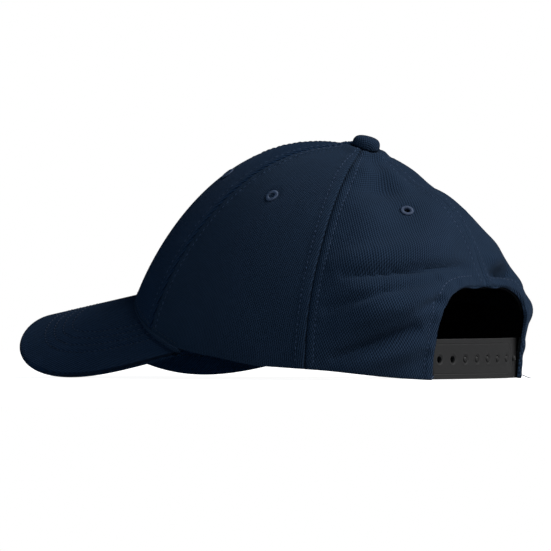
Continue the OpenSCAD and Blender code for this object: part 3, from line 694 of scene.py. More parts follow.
def rear_points():
    """Outline of a rear panel as (t, s), closed, and the points within it."""
    base = base_line(BACK_SEAM, 180, True)
    length = along(crown(*base.T))
    outline = np.concatenate([
        resample(base, length, np.arange(0, length[-1], OUTLINE_STEP)),
        cols(180.0, np.linspace(ARCH_TOP, POLE_STOP, 90)),
        cols(np.linspace(180, BACK_SEAM, 7)[1:-1], POLE_STOP),
        cols(float(BACK_SEAM), np.linspace(POLE_STOP, 0, 130)[:-1]),
    ])
    inner, fine = [], np.linspace(BACK_SEAM, 180, 400)
    for level in np.arange(REAR_STEP / 2, CREST * POLE_STOP - 0.4, REAR_STEP) / CREST:
        length = along(crown(fine, level))
        width = length[-1]
        edge = np.array(EDGE_STEPS[1:]) * min(1, width / NARROW)
        middle = np.arange(edge[-1] + REAR_STEP, width - edge[-1] - REAR_STEP / 2, REAR_STEP)
        at = np.concatenate([edge, middle, width - edge])
        inner.append(cols(np.interp(at, length, fine), level))
    inner = np.concatenate(inner)
    q = np.linspace(0, 90, 400)
    t, s = inner.T
    opening = 1 - ((180 - t) / arch_turn()) ** ARCH_SQUARE - (s / ARCH_TOP) ** ARCH_SQUARE
    rows = [inner[(opening < 0) & (distance_to(crown(t, s), crown(*arch_edge(q))) > HEM_ROOM)]]
    for grow in EDGE_STEPS[1:] + [HEM_LAST]:
        line = cols(*arch_edge(q, grow))
        length = along(crown(*line.T))
        line = resample(line, length, np.arange(0, length[-1], min(REAR_STEP, 0.5 + grow / 8)))
        rows.append(line[(line[:, 0] < 179.7) & (line[:, 1] > 0.003)])
    return outline, np.concatenate(rows)


def uneven_hem(t, s, flat):
    """Moves the cloth near the opening a little in its own plane, as a hand-turned hem wanders."""
    gap, at = nearest(crown(t, s), crown(*arch_edge(np.linspace(0, 90, 300))))
    away = unit(flat - laid_flat(np.array([180.0]), np.array([0.4 * ARCH_TOP])))
    push = (HEM_WANDER * wobble(at / 3) * bell(gap, 0, 3.5) * smooth(flat[:, 1] / 6))[:, None] * away
    return np.where(t == 180, 180, t + turn(push[:, 0], t, s)), s + push[:, 1] / CREST


def rear_sheet(panel):
    """Shape, weave coordinates and face count of one rear panel, evenly meshed round the opening."""
    outline, free = rear_points()
    spots = np.concatenate([outline, free])
    count = len(outline)
    flat = laid_flat(*spots.T)
    _, tris, was = triangulated(flat, [(i, (i + 1) % count) for i in range(count)])
    flat = flat[was]
    t, s = uneven_hem(*spots[was].T, flat)
    t, tris = panel.side * t, tris[:, ::int(panel.side)]
    points = np.concatenate([panel.raised(t, s), cloth(t, s, PANEL_T)])
    return (points, solid_sheet(tris, len(t))), flat * (panel.side, 1), len(tris)


class Panel:
    """One crown panel: its (t, s) grid, outer face and weave coordinates."""

    def __init__(self, kind, t0, t1, columns):
        self.kind, self.t0, self.t1, self.arch = kind, t0, t1, kind == "back"
        self.side = np.sign(t0 + t1)
        base = base_line(t0, t1, self.arch)
        share = along(crown(*base.T))
        self.low = resample(base, share / share[-1], np.linspace(0, 1, FINE))
        self.high = cols(top_line(t0, t1), POLE_STOP)
        low_rows = np.array(LOW_STEPS) / LOW_HEIGHT
        spots, weave = [], []
        for f in np.concatenate([low_rows, np.linspace(low_rows[-1], 1, PANEL_ROWS)[1:]]):
            line, length = self.row(f)
            offsets = spaced(length[-1], columns)
            spots.append(resample(line, length, offsets))
            weave.append(cols(offsets - length[-1] / 2, f * CREST))
        self.t, self.s = np.array(spots).T
        self.weave = np.swapaxes(weave, 0, 1)
        self.outer = self.raised(self.t, self.s)

    def row(self, f):
        """A row's fine line as (t, s), and the length along it."""
        line = lerp(self.low, self.high, f)
        return line, along(crown(*line.T))

    def seam_lines(self):
        """Both seams as points, with which panel's edge lies on top there."""
        ss = np.linspace(0, POLE_STOP, 400)
        for t in (self.t0, self.t1):
            over = {BACK_SEAM: -1 if self.arch else 1, 180: PRESSED}.get(abs(t), 0)
            start = ARCH_TOP if abs(t) == 180 else 0
            yield crown(t, ss[ss >= start]), over

    def raised(self, t, s):
        """Points on the outer face, with folds, seams, hem and the dent round the eyelet."""
        plain = crown(t, s)
        fade = 1 - smooth((s - FADE_FROM) / FADE_OVER)
        height = fold_height(t, s)
        for line, over in self.seam_lines():
            gap, at = nearest(plain, line)
            height = height + seam_profile(gap, over) * lerp(SEAM_LEFT, 1, fade)
            height = height + PUCKER * bell(gap, SEAM_STITCH, 3) * wobble(at) * fade
        if self.arch:
            hem_t, hem_s = arch_edge(np.linspace(0, 90, 300))
            gap, at = nearest(plain, crown(self.side * hem_t, hem_s))
            height = height + hem_profile(gap) + HEM_LUMP * bell(gap, 4.5, 4) * wobble(at / 1.6)
        eyelet_t, eyelet_s = EYELETS[self.kind]
        eyelet_gap = np.linalg.norm(plain - crown(self.side * eyelet_t, eyelet_s), axis=-1)
        rim_gap = distance_to(plain, crown(np.linspace(self.t0, self.t1, 400), 0.0))
        height = height - DENT * bell(eyelet_gap, DENT_R, DENT_W) - RIM_ROLL * bell(rim_gap, 0, 0.5)
        return plain + normal_of(crown, t, s) * height[..., None]

    def stitched(self, t, s):
        return stitch_row(self.raised(t, s), normal_of(crown, t, s))

    def topstitches(self):
        """Rows of stitches beside both seams."""
        lines = []
        for f in np.linspace(0.012, 0.955, 240):
            line, length = self.row(f)
            d = SEAM_STITCH * min(1, length[-1] / NARROW)
            lines.append(resample(line, length, [d, length[-1] - d]))
        return [self.stitched(*line.T) for line in np.swapaxes(lines, 0, 1)]


def eyelet_frame(kind, side):
    """Axes and place of a panel's eyelet."""
    t, s = EYELETS[kind]
    t, s = np.array(side * t, float), np.array(s)
    return frame_at(normal_of(crown, t, s), crown(t + STEP_T, s) - crown(t - STEP_T, s)), cloth(t, s)


def pierce(obj, kind, side, radius, low, high):
    """Makes an eyelet's hole."""
    round_cut = dome_solid(lathe([(0, low), (radius, low), (radius, high), (0, high)], 40))
    cut(obj, placed(round_cut, *eyelet_frame(kind, side)))


def reverse_side(obj, count):
    """Gives the second set of grid faces, the inner face, the cloth's darker reverse."""
    index = np.zeros(len(obj.data.polygons), np.int32)
    index[count:2 * count] = 1
    obj.data.materials.append(REVERSE)
    obj.data.polygons.foreach_set("material_index", index)


HANDS = {1: "left", -1: "right"}
PANELS = {
    "front": (0, FRONT_SEAM, 34, TWILL_FRONT),
    "side": (FRONT_SEAM, BACK_SEAM, 50, TWILL_SIDE),
    "back": (BACK_SEAM, 180, 70, TWILL_BACK),
}
topstitch, rim_stitch = [], []
for kind, side in [(kind, side) for kind in PANELS for side in HANDS]:
    t0, t1, columns, material = PANELS[kind]
    t0, t1 = (t0, t1) if side > 0 else (-t1, -t0)
    name = f"{kind}_panel_{HANDS[side]}"
    panel = Panel(kind, t0, t1, columns)
    if panel.arch:
        shape, weave, count = rear_sheet(panel)
    else:
        shape = closed_grid(panel.outer, cloth(panel.t, panel.s, PANEL_T))
        weave, count = panel.weave, (panel.t.shape[0] - 1) * (panel.t.shape[1] - 1)
    made = piece(name + "_cloth", shape, material, "cap", [name], weave)
    reverse_side(made, count)
    pierce(made, kind, side, EYELET_HOLE_R, -3, 3)
    support = name.replace("panel", "buckram") if kind == "front" else "sweatband_cloth"
    declared.append((made, "stretched", [support], panel.outer))
    topstitch += panel.topstitches()
    if panel.arch:
        t, s = arch_edge(np.linspace(0.5, 88, 260), HEM_STITCH)
        topstitch.append(panel.stitched(side * t, s))
    else:
        t = np.linspace(max(t0, -VISOR_SEAM_END), min(t1, VISOR_SEAM_END), 200)[2:-2]
        rim_stitch.append(panel.stitched(t, climb(t, RIM_STITCH)))
sewn("crown_topstitching", topstitch, THREAD)
sewn("visor_seam_stitching", rim_stitch, DARK_THREAD)

# Loose ends of the hem thread at the opening's two corners
TAIL_R, TAIL_POINTS, TAIL_SIDES = 0.2, 16, 8
TAILS = {1: (2.5, 1.5), -1: (-3.5, 5.5)}
tails = []
for side, (aside, away) in TAILS.items():
    corner = np.array(side * ARCH_CORNER)
    start, out = cloth(corner, np.array(0.012)), outward(corner)
    across = np.array([out[1], -out[0], 0])
    f = np.linspace(0, 1, TAIL_POINTS)[:, None]
    path = start + out * (0.4 + away * f**1.3) + across * aside * np.sin(2.2 * f) * f
    path[:, 2] = np.maximum(start[2] * (1 - f[:, 0]) ** 2 + 0.8 * np.sin(np.pi * f[:, 0]), 0.3)
    upright = np.tile([0.0, 0, 1], (TAIL_POINTS, 1))
    tails.append(tube(path, np.full(TAIL_POINTS, TAIL_R), upright, TAIL_SIDES))
piece("thread_tails", merged(tails), EYELET_THREAD, "cap")

# Sewn eyelets
EYELET_SECTION = [(3.5, -0.1), (3.35, 0.3), (2.95, 0.58), (2.45, 0.68), (1.95, 0.58), (1.6, 0.25),
                  (1.5, -0.3), (1.5, -1.2), (1.75, -1.3), (2.6, -0.4)]
EYELET_MIDDLE, EYELET_TURNS, EYELET_RIPPLE, EYELET_LINES = 2.4, 34, 0.05, 204


def thread_ripple(angle, r, z):
    wave = EYELET_RIPPLE * np.cos(EYELET_TURNS * angle)
    return r + wave * np.sign(r - EYELET_MIDDLE), z + wave * (z > 0)


eyelet = ring_solid(lathe(EYELET_SECTION, EYELET_LINES, thread_ripple))
eyelets = [placed(eyelet, *eyelet_frame(kind, side)) for kind in EYELETS for side in HANDS]
piece("sewn_eyelets", merged(eyelets), EYELET_THREAD, "cap", ["eyelets"], sharp=None)

# Covered button
BUTTON_R, BUTTON_H, BUTTON_LIFT, BUTTON_SIDE, BUTTON_LINES = 7.0, 6.9, -0.1, 2.2, 96
BUTTON_FOOT = [(6.95, 1.7), (6.7, 1.0), (6.2, 0.4), (5.4, 0.1), (4.0, 0.0), (2.2, 0.0), (0, 0.0)]
dome = [(BUTTON_R * math.cos(a) ** 0.55, BUTTON_SIDE + (BUTTON_H - BUTTON_SIDE) * math.sin(a) ** 0.8)
        for a in np.linspace(90, 0, 15) * DEG]
profile = [(0, BUTTON_H)] + dome[1:] + BUTTON_FOOT


def gathers(angle, r, z):
    low = 1 - smooth((z - 0.6) / 2.6)
    return r + 0.13 * np.cos(17 * angle + 1.3 * np.sin(3 * angle)) * low * (r > 5), z


flat = lathe([(length, 0) for length in along(np.array(profile))], BUTTON_LINES)
shape = placed(dome_solid(lathe(profile, BUTTON_LINES, gathers)), frame_at(POLE_AXIS, np.array([1.0, 0, 0])),
               POLE + POLE_AXIS * BUTTON_LIFT)
piece("covered_button", shape, TWILL_BACK, "cap", ["top_button"], dome_solid(flat)[0][:, :2])

# Visor: straight lines from the front rim to an outline on a bent sheet
VISOR_REACH, VISOR_CORNER, BEND_R, VISOR_DIP, VISOR_SQUARE = 56.5, 61, 82.4, 12, 3.1
BOARD_T, COVER_T = 2, 0.9
VISOR_T = BOARD_T + 2 * COVER_T + 2 * LAYER_GAP
ROLL_R = VISOR_T / 2
VISOR_TIP = CROWN_FRONT + VISOR_REACH
ROOT_DROP = LAYER_GAP + PANEL_T * math.sin(LEAN[0] * DEG)
CORNER = rim(np.array(float(VISOR_CORNER)))
CORNER_TURN = math.asin(CORNER[0] / BEND_R)
VISOR_LINES, VISOR_ROWS = 100, [14.5, 19.5, 24.5, 29.5]
VISOR_DIMPLE, DIMPLE_W, VISOR_STITCH = 0.28, 0.8, (2.0, 1.2, 0.26, 0.0)


def bent_z(y, phi):
    return RIM_FRONT_Z + math.tan(VISOR_DIP * DEG) * (CROWN_FRONT + y) - BEND_R * (1 - np.cos(phi))


CORNER_FIX = CORNER[2] - bent_z(CORNER[1], CORNER_TURN)


def visor_edge(p):
    across = np.sin(np.pi / 2 * p)
    phi = CORNER_TURN * across
    ahead = np.maximum(1 - np.abs(across) ** VISOR_SQUARE, 0) ** (1 / VISOR_SQUARE)
    y = CORNER[1] - (VISOR_TIP + CORNER[1]) * ahead
    return cols(BEND_R * np.sin(phi), y, bent_z(y, phi) + CORNER_FIX * np.abs(p) ** 6)


def visor_normal(points):
    sine = np.clip(points[..., 0] / BEND_R, -1, 1)
    return cols(sine, 0, np.sqrt(1 - sine**2))


low_edge = visor_edge(np.linspace(0, 1, 41))
VISOR_LOW = (low_edge[:, 2] - VISOR_T * visor_normal(low_edge)[:, 2]).min()


def visor_root(p):
    t = VISOR_CORNER * p
    return rim(t) - outward(t) * PANEL_T - np.array([0, 0, ROOT_DROP])


def visor_rim(p):
    return visor_edge(p) - np.array([0, 0, VISOR_LOW])


def visor_pt(p, q, depth=0.0):
    top = lerp(visor_root(p), visor_rim(p), np.asarray(q)[..., None])
    return top - visor_normal(top) * np.asarray(depth)[..., None]


def visor_shell(inset, flip):
    """Grid of one cover's face: flat to the edge, then rolled half round it."""
    p = np.linspace(-0.995, 0.995, 221)[:, None]
    length = np.linalg.norm(visor_rim(p) - visor_root(p), axis=-1)
    roll = np.minimum(ROLL_R, 0.35 * length)
    radius = np.maximum(roll - inset, 0.05)
    angle = np.linspace(0, 86, 9)[None] * DEG
    flat_q = np.linspace(0, 1, VISOR_LINES)[None, :-1] * (1 - roll / length)
    q = np.concatenate([flat_q, 1 - (roll - radius * np.sin(angle)) / length], 1)
    depth = np.concatenate([np.full(flat_q.shape, float(inset)), roll - radius * np.cos(angle)], 1)
    p = np.broadcast_to(p, q.shape)
    gap = distance_to(visor_pt(p, q), visor_rim(np.linspace(-1, 1, 500)))
    depth = depth + VISOR_DIMPLE * sum(bell(gap, row, DIMPLE_W) for row in VISOR_ROWS) * (inset == 0)
    return visor_pt(p, q, VISOR_T - depth if flip else depth)


# Top cover in the darker copy of the twill (painted shade), under cover in the lighter copy (painted light)
VISOR_COVERS = (("visor_top_cover", False, TWILL_VISOR_PAINTED_SHADE), ("visor_under_cover", True, TWILL_UNDER_PAINTED_LIGHT))
for name, flip, material in VISOR_COVERS:
    outer, inner = (visor_shell(inset, flip) for inset in ((COVER_T, 0.0) if flip else (0.0, COVER_T)))
    weave = cols(BEND_R * np.arcsin(np.clip(outer[..., 0] / BEND_R, -1, 1)), outer[..., 1])
    cover = piece(name + "_cloth", closed_grid(outer, inner), material, "cap", [name], weave)
    declared.append((cover, "stretched", ["visor_board_sheet"], outer))


def visor_row(offset):
    """Stitch line at a distance from the outline, as (p, q)."""
    outline, q = visor_rim(np.linspace(-1, 1, 700)), np.linspace(0, 1, 160)
    found = []
    for p in np.linspace(-0.99, 0.99, 420):
        gap = distance_to(visor_pt(np.full(len(q), p), q), outline)
        if gap[0] > offset:
            found.append((p, np.interp(-offset, -gap, q)))
    return np.array(found)


visor_threads = []
for offset in VISOR_ROWS:
    p, q = visor_row(offset).T
    for depth, sign in ((0.0, 1), (VISOR_T, -1)):
        path = visor_pt(p, q, depth)
        visor_threads.append(stitch_row(path, sign * visor_normal(path), *VISOR_STITCH))
sewn("visor_stitching", visor_threads, VISOR_THREAD)

BOARD_IN, BOARD_REACH, BOARD_TOP = 4, 0.93, COVER_T + LAYER_GAP
p = np.linspace(-BOARD_REACH, BOARD_REACH, 121)[:, None] * np.ones(30)
q = np.linspace(0.01, 1, 30) * (1 - BOARD_IN / np.linalg.norm(visor_rim(p) - visor_root(p), axis=-1))
shape = closed_grid(visor_pt(p, q, BOARD_TOP), visor_pt(p, q, BOARD_TOP + BOARD_T))
piece("visor_board_sheet", shape, BOARD, "cap", ["visor_board"])

# Rolled welt along the visor's root, thickest where its corners meet the rim
WELT_R, WELT_END, WELT_SIDES, WELT_IN, WELT_DROP = (0.85, 1.4), 61.9, 14, 0.5, 0.7
WELT_SWELL_AT, WELT_SWELL_OVER, WELT_TAPER, WELT_WEAVE = 36, 10, 1.5, 0.55
t = np.linspace(-WELT_END, WELT_END, 181)
path = rim(t) - outward(t) * WELT_IN - np.array([0, 0, WELT_DROP])
taper = np.sqrt(np.clip((WELT_END - np.abs(t)) / WELT_TAPER, 0.02, 1))
radii = lerp(*WELT_R, smooth((np.abs(t) - WELT_SWELL_AT) / WELT_SWELL_OVER)) * taper
piece("visor_welt", tube(path, radii, outward(t), WELT_SIDES), TWILL_SIDE, "cap",
      weave=cols(along(path)[:, None], np.arange(WELT_SIDES) * WELT_WEAVE))

# Sweatband, seam tapes, stiffeners and binding
STRAP_T, STRAP_W, STRAP_GAP, TAB_L = 1.5, 20, 0.3, 11
HEM_S, HINGE_ROOM, RIGHT_ROOM, BAND_ROOM, BAND_EASE = 0.08, 1.2, 4, 2, 6
hinge_q = math.asin((climb(ARCH_CORNER, STRAP_W + HINGE_ROOM) / ARCH_TOP) ** (ARCH_SQUARE / 2)) / DEG
LEFT_HINGE_T = float(arch_edge(hinge_q)[0]) + turn(HINGE_ROOM, ARCH_CORNER, HEM_S)
RIGHT_HINGE_T = ARCH_CORNER - turn(RIGHT_ROOM, ARCH_CORNER, HEM_S)
BAND_H, BAND_T, BAND_START, BAND_ROW = 32, 1.6, 0.02, 0.12
BAND_END = RIGHT_HINGE_T - turn(BAND_ROOM, ARCH_CORNER, HEM_S)
BAND_RAMP, TAB_TURN = turn(BAND_EASE, ARCH_CORNER, HEM_S), turn(TAB_L, ARCH_CORNER, HEM_S)
BAND_STEP, BAND_SWELL = STRAP_T + LAYER_GAP, 0.25
BAND_STITCH, TAPE_STITCH = (2.6, 1.2), (2.4, 1.2, 0.2)


def band_depth(t):
    return INNER + BAND_STEP * smooth((np.abs(t) - RIGHT_HINGE_T + TAB_TURN + 1.5 * BAND_RAMP) / BAND_RAMP)


t, f = np.linspace(-BAND_END, BAND_END, 321), np.linspace(0, 1, 22)
top, tt = climb(t, BAND_H), t[:, None]
ss = lerp(BAND_START, top[:, None], f)
roll = BAND_T / 2 * (1 - np.sqrt(1 - np.maximum(np.abs(2 * f - 1) * 1.06 - 0.06, 0) ** 8))
swell = BAND_SWELL * np.sin(np.pi * f) - BAND_SWELL * bell(f, BAND_ROW, 0.03)
band_in = cloth(tt, ss, band_depth(tt) + BAND_T - roll + swell)
shape = closed_grid(cloth(tt, ss, band_depth(tt) + roll), band_in)
sweatband = piece("sweatband_cloth", shape, BAND_CLOTH, "cap", ["sweatband"],
                  cols(along(crown(t, 0.05))[:, None], f * BAND_H))
declared.append((sweatband, "folded", ["side_panel_left_cloth", "side_panel_right_cloth"], band_in))
row_s = lerp(BAND_START, top, BAND_ROW)
path = cloth(t, row_s, band_depth(t) + BAND_T - 0.1)
sewn("sweatband_stitching", [stitch_row(path, -normal_of(crown, t, row_s), *BAND_STITCH)], DARK_THREAD)

TAPE_W, TAPE_T, TAPE_TOP, TAPE_CLEAR, TAPE_BOW = 12, 0.6, 0.93, 1.5, 0.15
BINDING_W, BINDING_T, BINDING_PUFF = 8, 0.8, 0.25
tapes, tape_faces, tape_weave, tape_threads = [], [], [], []
across = np.linspace(-1, 1, 9)
bow = TAPE_BOW * (1 - across**2)[:, None]
for seam in (0, FRONT_SEAM, BACK_SEAM, 180, -BACK_SEAM, -FRONT_SEAM):
    foot = climb(float(seam), ARCH_H + BINDING_W + TAPE_CLEAR if seam == 180 else BAND_H + TAPE_CLEAR)
    s = np.linspace(foot, TAPE_TOP, 70)
    half = TAPE_W / 2 * np.minimum(1, (1 - s) * 5)
    fine = seam + 30 * signed_pow(np.linspace(-1, 1, 161), 1.35)
    tt = []
    for level, wide in zip(s, half):
        length = along(crown(fine, level))
        tt.append(np.interp(length[80] + across * wide, length, fine))
    tt = np.array(tt).T
    tape_faces.append(cloth(tt, s, INNER + TAPE_T + bow))
    tapes.append(closed_grid(cloth(tt, s, INNER), tape_faces[-1]))
    tape_weave += [cols(across[:, None] * half, along(crown(float(seam), s))).reshape(-1, 2)] * 2
    for k in (1, -2):
        line = cloth(tt[k], s, INNER + TAPE_T)
        tape_threads.append(stitch_row(line, -normal_of(crown, tt[k], s), *TAPE_STITCH))
tape = piece("seam_tape_cloth", merged(tapes), TAPE_CLOTH, "cap", ["seam_tapes"],
             np.concatenate(tape_weave))
declared.append((tape, "laid", ["side_panel_left_cloth", "back_panel_left_cloth"], *tape_faces))
sewn("seam_tape_stitching", tape_threads, DARK_THREAD)

BUCKRAM_T, BUCKRAM_TOP, BUCKRAM_H, BUCKRAM_HOLE_R = 0.6, 0.7, 70, 1.9
edge = turn(TAPE_W / 2 + TAPE_CLEAR, FRONT_SEAM / 2, BUCKRAM_TOP)
f = np.linspace(0, 1, 44)
for side, hand in HANDS.items():
    t = np.linspace(edge, FRONT_SEAM - edge, 40)[::side] * side
    tt, ss = t[:, None], lerp(climb(t, BAND_H + TAPE_CLEAR)[:, None], BUCKRAM_TOP, f)
    face = cloth(tt, ss, INNER)
    shape = closed_grid(face, cloth(tt, ss, INNER + BUCKRAM_T))
    stiffener = piece("front_buckram_" + hand, shape, BUCKRAM, "cap", ["front_buckram"],
                      cols(along(crown(t, 0.3))[:, None], f * BUCKRAM_H))
    pierce(stiffener, "front", side, BUCKRAM_HOLE_R, -4, 3)
    declared.append((stiffener, "laid", [f"front_panel_{hand}_cloth"], face))

q, w = np.linspace(36, 90, 90), np.linspace(0, 1, 9) * BINDING_W
halves = np.array([cols(*arch_edge(q, x)) for x in w])
bt, bs = np.concatenate([halves, halves[:, -2::-1] * (-1, 1)], 1).T
bt = np.where(bt < 0, bt + 360, bt)
puff = BINDING_PUFF * np.sin(np.pi * w / BINDING_W)
depth = INNER + LAYER_GAP
face = cloth(bt, bs, depth + BINDING_T + puff)
binding = piece("arch_binding_cloth", closed_grid(cloth(bt, bs, depth - puff * 0.4), face), TAPE_CLOTH, "cap",
                ["arch_binding"], cols(along(crown(bt[:, 4], bs[:, 4]))[:, None], w))
declared.append((binding, "folded", ["back_panel_left_cloth", "back_panel_right_cloth"],
                 np.swapaxes(face, 0, 1)))

# Removable insert, which follows the smooth crown
PATCH_T, PATCH_GAP, PATCH_W = 0.7, 0.3, 20
SHELL_T, REAR_ROOM, POLE_ROOM = 2, 6, 4
SHELL_DEPTH = INNER + 2 * PATCH_T + PATCH_GAP + LAYER_GAP
SHELL_EDGE, SHELL_EDGE_REAR, SHELL_TOP = 42, 58, 0.945
SHELL_LINES, SHELL_ROWS = 48, 11


def inside(t, s, depth):
    return smooth_crown(t, s) - normal_of(smooth_crown, t, s) * np.asarray(depth)[..., None]


def shell_out(t, s):
    rear = np.maximum(-np.cos(t * DEG), 0) ** 2
    return SHELL_DEPTH + REAR_ROOM * rear + POLE_ROOM * smooth((s - 0.6) / 0.3)


def all_round(count):
    return -180 + 360 * np.arange(count) / count


def vented_solid(outer, inner, is_open=lambda i, j: False):
    """Closed wrapped solid with a wall round every open cell."""
    n, m = outer.shape[0], outer.shape[1] - 1
    top = np.arange(n * (m + 1)).reshape(n, m + 1)
    low = top + n * (m + 1)
    faces = []

    def full(i, j):
        return 0 <= j < m and not is_open(i % n, j)

    for i, j in np.ndindex(n, m):
        if not full(i, j):
            continue
        k = (i + 1) % n
        corners = [(i, j), (k, j), (k, j + 1), (i, j + 1)]
        a, b = [top[c] for c in corners], [low[c] for c in corners]
        faces += [a, b[::-1]]
        for e, beside in enumerate([(i, j - 1), (i + 1, j), (i, j + 1), (i - 1, j)]):
            if not full(*beside):
                faces.append([a[e], b[e], b[(e + 1) % 4], a[(e + 1) % 4]])
    return np.concatenate([outer.reshape(-1, 3), inner.reshape(-1, 3)]), faces


def vent(i, j):
    return (i + 2) % 6 < 2 and j in (3, 4, 6, 7)


def drop_loose(shape):
    """The shape without points that no face uses."""
    points, faces = shape
    used = np.unique([i for face in faces for i in face])
    new = {int(k): n for n, k in enumerate(used)}
    return points[used], [[new[int(i)] for i in face] for face in faces]


t = all_round(SHELL_LINES)
foot = climb(t, by_side(t, (SHELL_EDGE, SHELL_EDGE, SHELL_EDGE_REAR)))
tt, ss = t[:, None], lerp(foot[:, None], SHELL_TOP, np.linspace(0, 1, SHELL_ROWS + 1))
out = shell_out(tt, ss)
shape = drop_loose(vented_solid(inside(tt, ss, out), inside(tt, ss, out + SHELL_T), vent))
shell = piece("impact_shell_moulded", shape, SHELL, "insert", ["impact_shell"], sharp=None)
modifier = shell.modifiers.new("smooth", "SUBSURF")
modifier.levels = modifier.render_levels = 2

PATCH_T0, PATCH_S = 76, (0.42, 0.52)
half = turn(PATCH_W / 2, PATCH_T0, PATCH_S[0])
PATCHES = {
    "loop_patches": ("cap", "side_panel_left_cloth", lambda t, s: cloth(t, s, INNER),
                     lambda t, s: cloth(t, s, INNER + PATCH_T)),
    "hook_patches": ("insert", "impact_shell_moulded", lambda t, s: cloth(t, s, INNER + PATCH_T + PATCH_GAP),
                     lambda t, s: inside(t, s, shell_out(t, s) - PATCH_GAP)),
}
for name, (body, support, face, back) in PATCHES.items():
    parts, grids = [], []
    for side in HANDS:
        t = np.linspace(PATCH_T0 - half, PATCH_T0 + half, 25)[::side] * side
        tt, ss = np.meshgrid(t, np.linspace(*PATCH_S, 19), indexing="ij")
        grids.append(face(tt, ss))
        parts.append(closed_grid(grids[-1], back(tt, ss)))
    patch = piece(name + "_fuzzy", merged(parts), FUZZ, body, [name])
    declared.append((patch, "laid", [support], *grids))

PAD_T, PAD_SEAT, EDGE_SHARE, PAD_TOP, PAD_POINTS = 6, 0.5, 0.35, 0.66, 41
PAD_ROUND, CHANNEL, CHANNEL_AT, CHANNEL_W = 0.12, 0.22, 0.36, 0.05
CROWN_PAD_S, CROWN_PAD_LINES = (0.74, 0.935), 90
PADS = {
    "front_pad": (-38, 38, climb(0.0, SHELL_EDGE + 3)),
    "side_pad_left": (58, 116, climb(90.0, SHELL_EDGE + 9)),
    "side_pad_right": (-116, -58, climb(90.0, SHELL_EDGE + 9)),
    "rear_pad": (152, 208, climb(180.0, SHELL_EDGE_REAR + 3)),
}


def plump(u):
    return (1 - np.abs(2 * u - 1) ** 3.2) ** 0.8


def pad_faces(t, s, full, edge=0.0):
    """Grids of a pad's face on the shell and of its swollen face."""
    seat = shell_out(t, s) + SHELL_T + PAD_SEAT
    return inside(t, s, seat + edge), inside(t, s, seat + PAD_T * lerp(EDGE_SHARE, 1, full))


def pad(name, shape):
    piece(name + "_foam", shape, FOAM, "insert", [name])


for name, (t0, t1, s0) in PADS.items():
    u, v = np.meshgrid(*[np.linspace(0, 1, PAD_POINTS)] * 2, indexing="ij")
    du, dv = 2 * u - 1, 2 * v - 1
    round_u, round_v = (a * np.sqrt(1 - PAD_ROUND * b**4) for a, b in ((du, dv), (dv, du)))
    full = plump(u) * plump(v) * (1 - CHANNEL * bell(np.abs(du), CHANNEL_AT, CHANNEL_W))
    t, s = lerp(t0, t1, (round_u + 1) / 2), lerp(s0, PAD_TOP, (round_v + 1) / 2)
    pad(name, closed_grid(*pad_faces(t, s, full, 0.5 * (1 - smooth(full / 0.25)))))
v = np.linspace(0, 1, 19)
tt, ss = np.meshgrid(all_round(CROWN_PAD_LINES), lerp(*CROWN_PAD_S, v), indexing="ij")
pad("crown_pad", vented_solid(*pad_faces(tt, ss, plump(v))))

# Snap straps: flat plates with raised and sunk detail, bent to one arc
STRAP_R, HOLE_COUNT, FIRST_HOLE, HOLE_PITCH, HOLE_R, RIM_R = 240, 7, 4.6, 10.8, 1.8, 2.8
PEG_R, PEG_STAND, PEG_DOME, PEG_ROOT = 1.4, 0.3, 0.7, -0.6
HOLE_Z, END_MARGIN, END_R, FIRST_PEG = 9.8, 7.4, 6, 2
GROOVE_INSET, GROOVE_DEPTH, GROOVE_W, STRAP_FOOT = 2.6, 0.14, 0.22, 0.4
RIM_SINK, RIM_LIFT, RIM_AT, RIM_W, STRAP_ROUND = 0.25, 0.08, RIM_R + 0.15, 0.3, 0.3
# Spacing of the plate's points: round the outline, along and across
STRAP_STEPS, EDGE_CLEAR, HOLE_CLEAR = (0.4, 0.42, 0.5), 0.05, 0.1
EDGE_INSETS, RIM_RINGS = [0.08, 0.2, 0.35], [1.95, 2.1, 2.3, 2.5, 2.7, 2.85, 3.1]
RIGHT_R = STRAP_R - STRAP_T - STRAP_GAP
left_spot, right_spot = ((crown(t, 0.0) - normal_of(crown, t, 0.0) * INNER)[:2] * (side, 1)
                         for t, side in ((LEFT_HINGE_T, 1), (RIGHT_HINGE_T, -1)))
chord = right_spot - left_spot
chord_share = (STRAP_R**2 - RIGHT_R**2 + chord @ chord) / (2 * chord @ chord)
chord_drop = math.sqrt(STRAP_R**2 - chord_share**2 * (chord @ chord))
STRAP_CENTRE = left_spot + chord * chord_share + unit(np.array([-chord[1], chord[0]])) * chord_drop
LEFT_BEARING, RIGHT_BEARING = (math.atan2(*(spot - STRAP_CENTRE)) for spot in (left_spot, right_spot))
LEFT_LENGTH = FIRST_HOLE + (HOLE_COUNT - 1) * HOLE_PITCH + END_MARGIN


def hole_bearing(i):
    return LEFT_BEARING - (FIRST_HOLE + i * HOLE_PITCH) / STRAP_R


RIGHT_END = hole_bearing(FIRST_PEG) + END_MARGIN / STRAP_R
RIGHT_LENGTH = (RIGHT_END - RIGHT_BEARING) * RIGHT_R


def corner(length, inset, count):
    """Line round the free end's lower corner, at a distance in from the edge."""
    a, r = np.linspace(0, 90, count) * DEG, END_R - inset
    return cols(length - END_R + r * np.sin(a), END_R - r * np.cos(a))


def across_strap(points):
    return cols(points[:, 0], STRAP_W - points[:, 1])


def circle(x, r):
    """Points round a hole."""
    ring = np.linspace(0, 2 * np.pi, 36, endpoint=False)
    return cols(x + r * np.cos(ring), HOLE_Z + r * np.sin(ring))


def from_hole(points, x):
    return np.hypot(points[:, 0] - x, points[:, 1] - HOLE_Z)


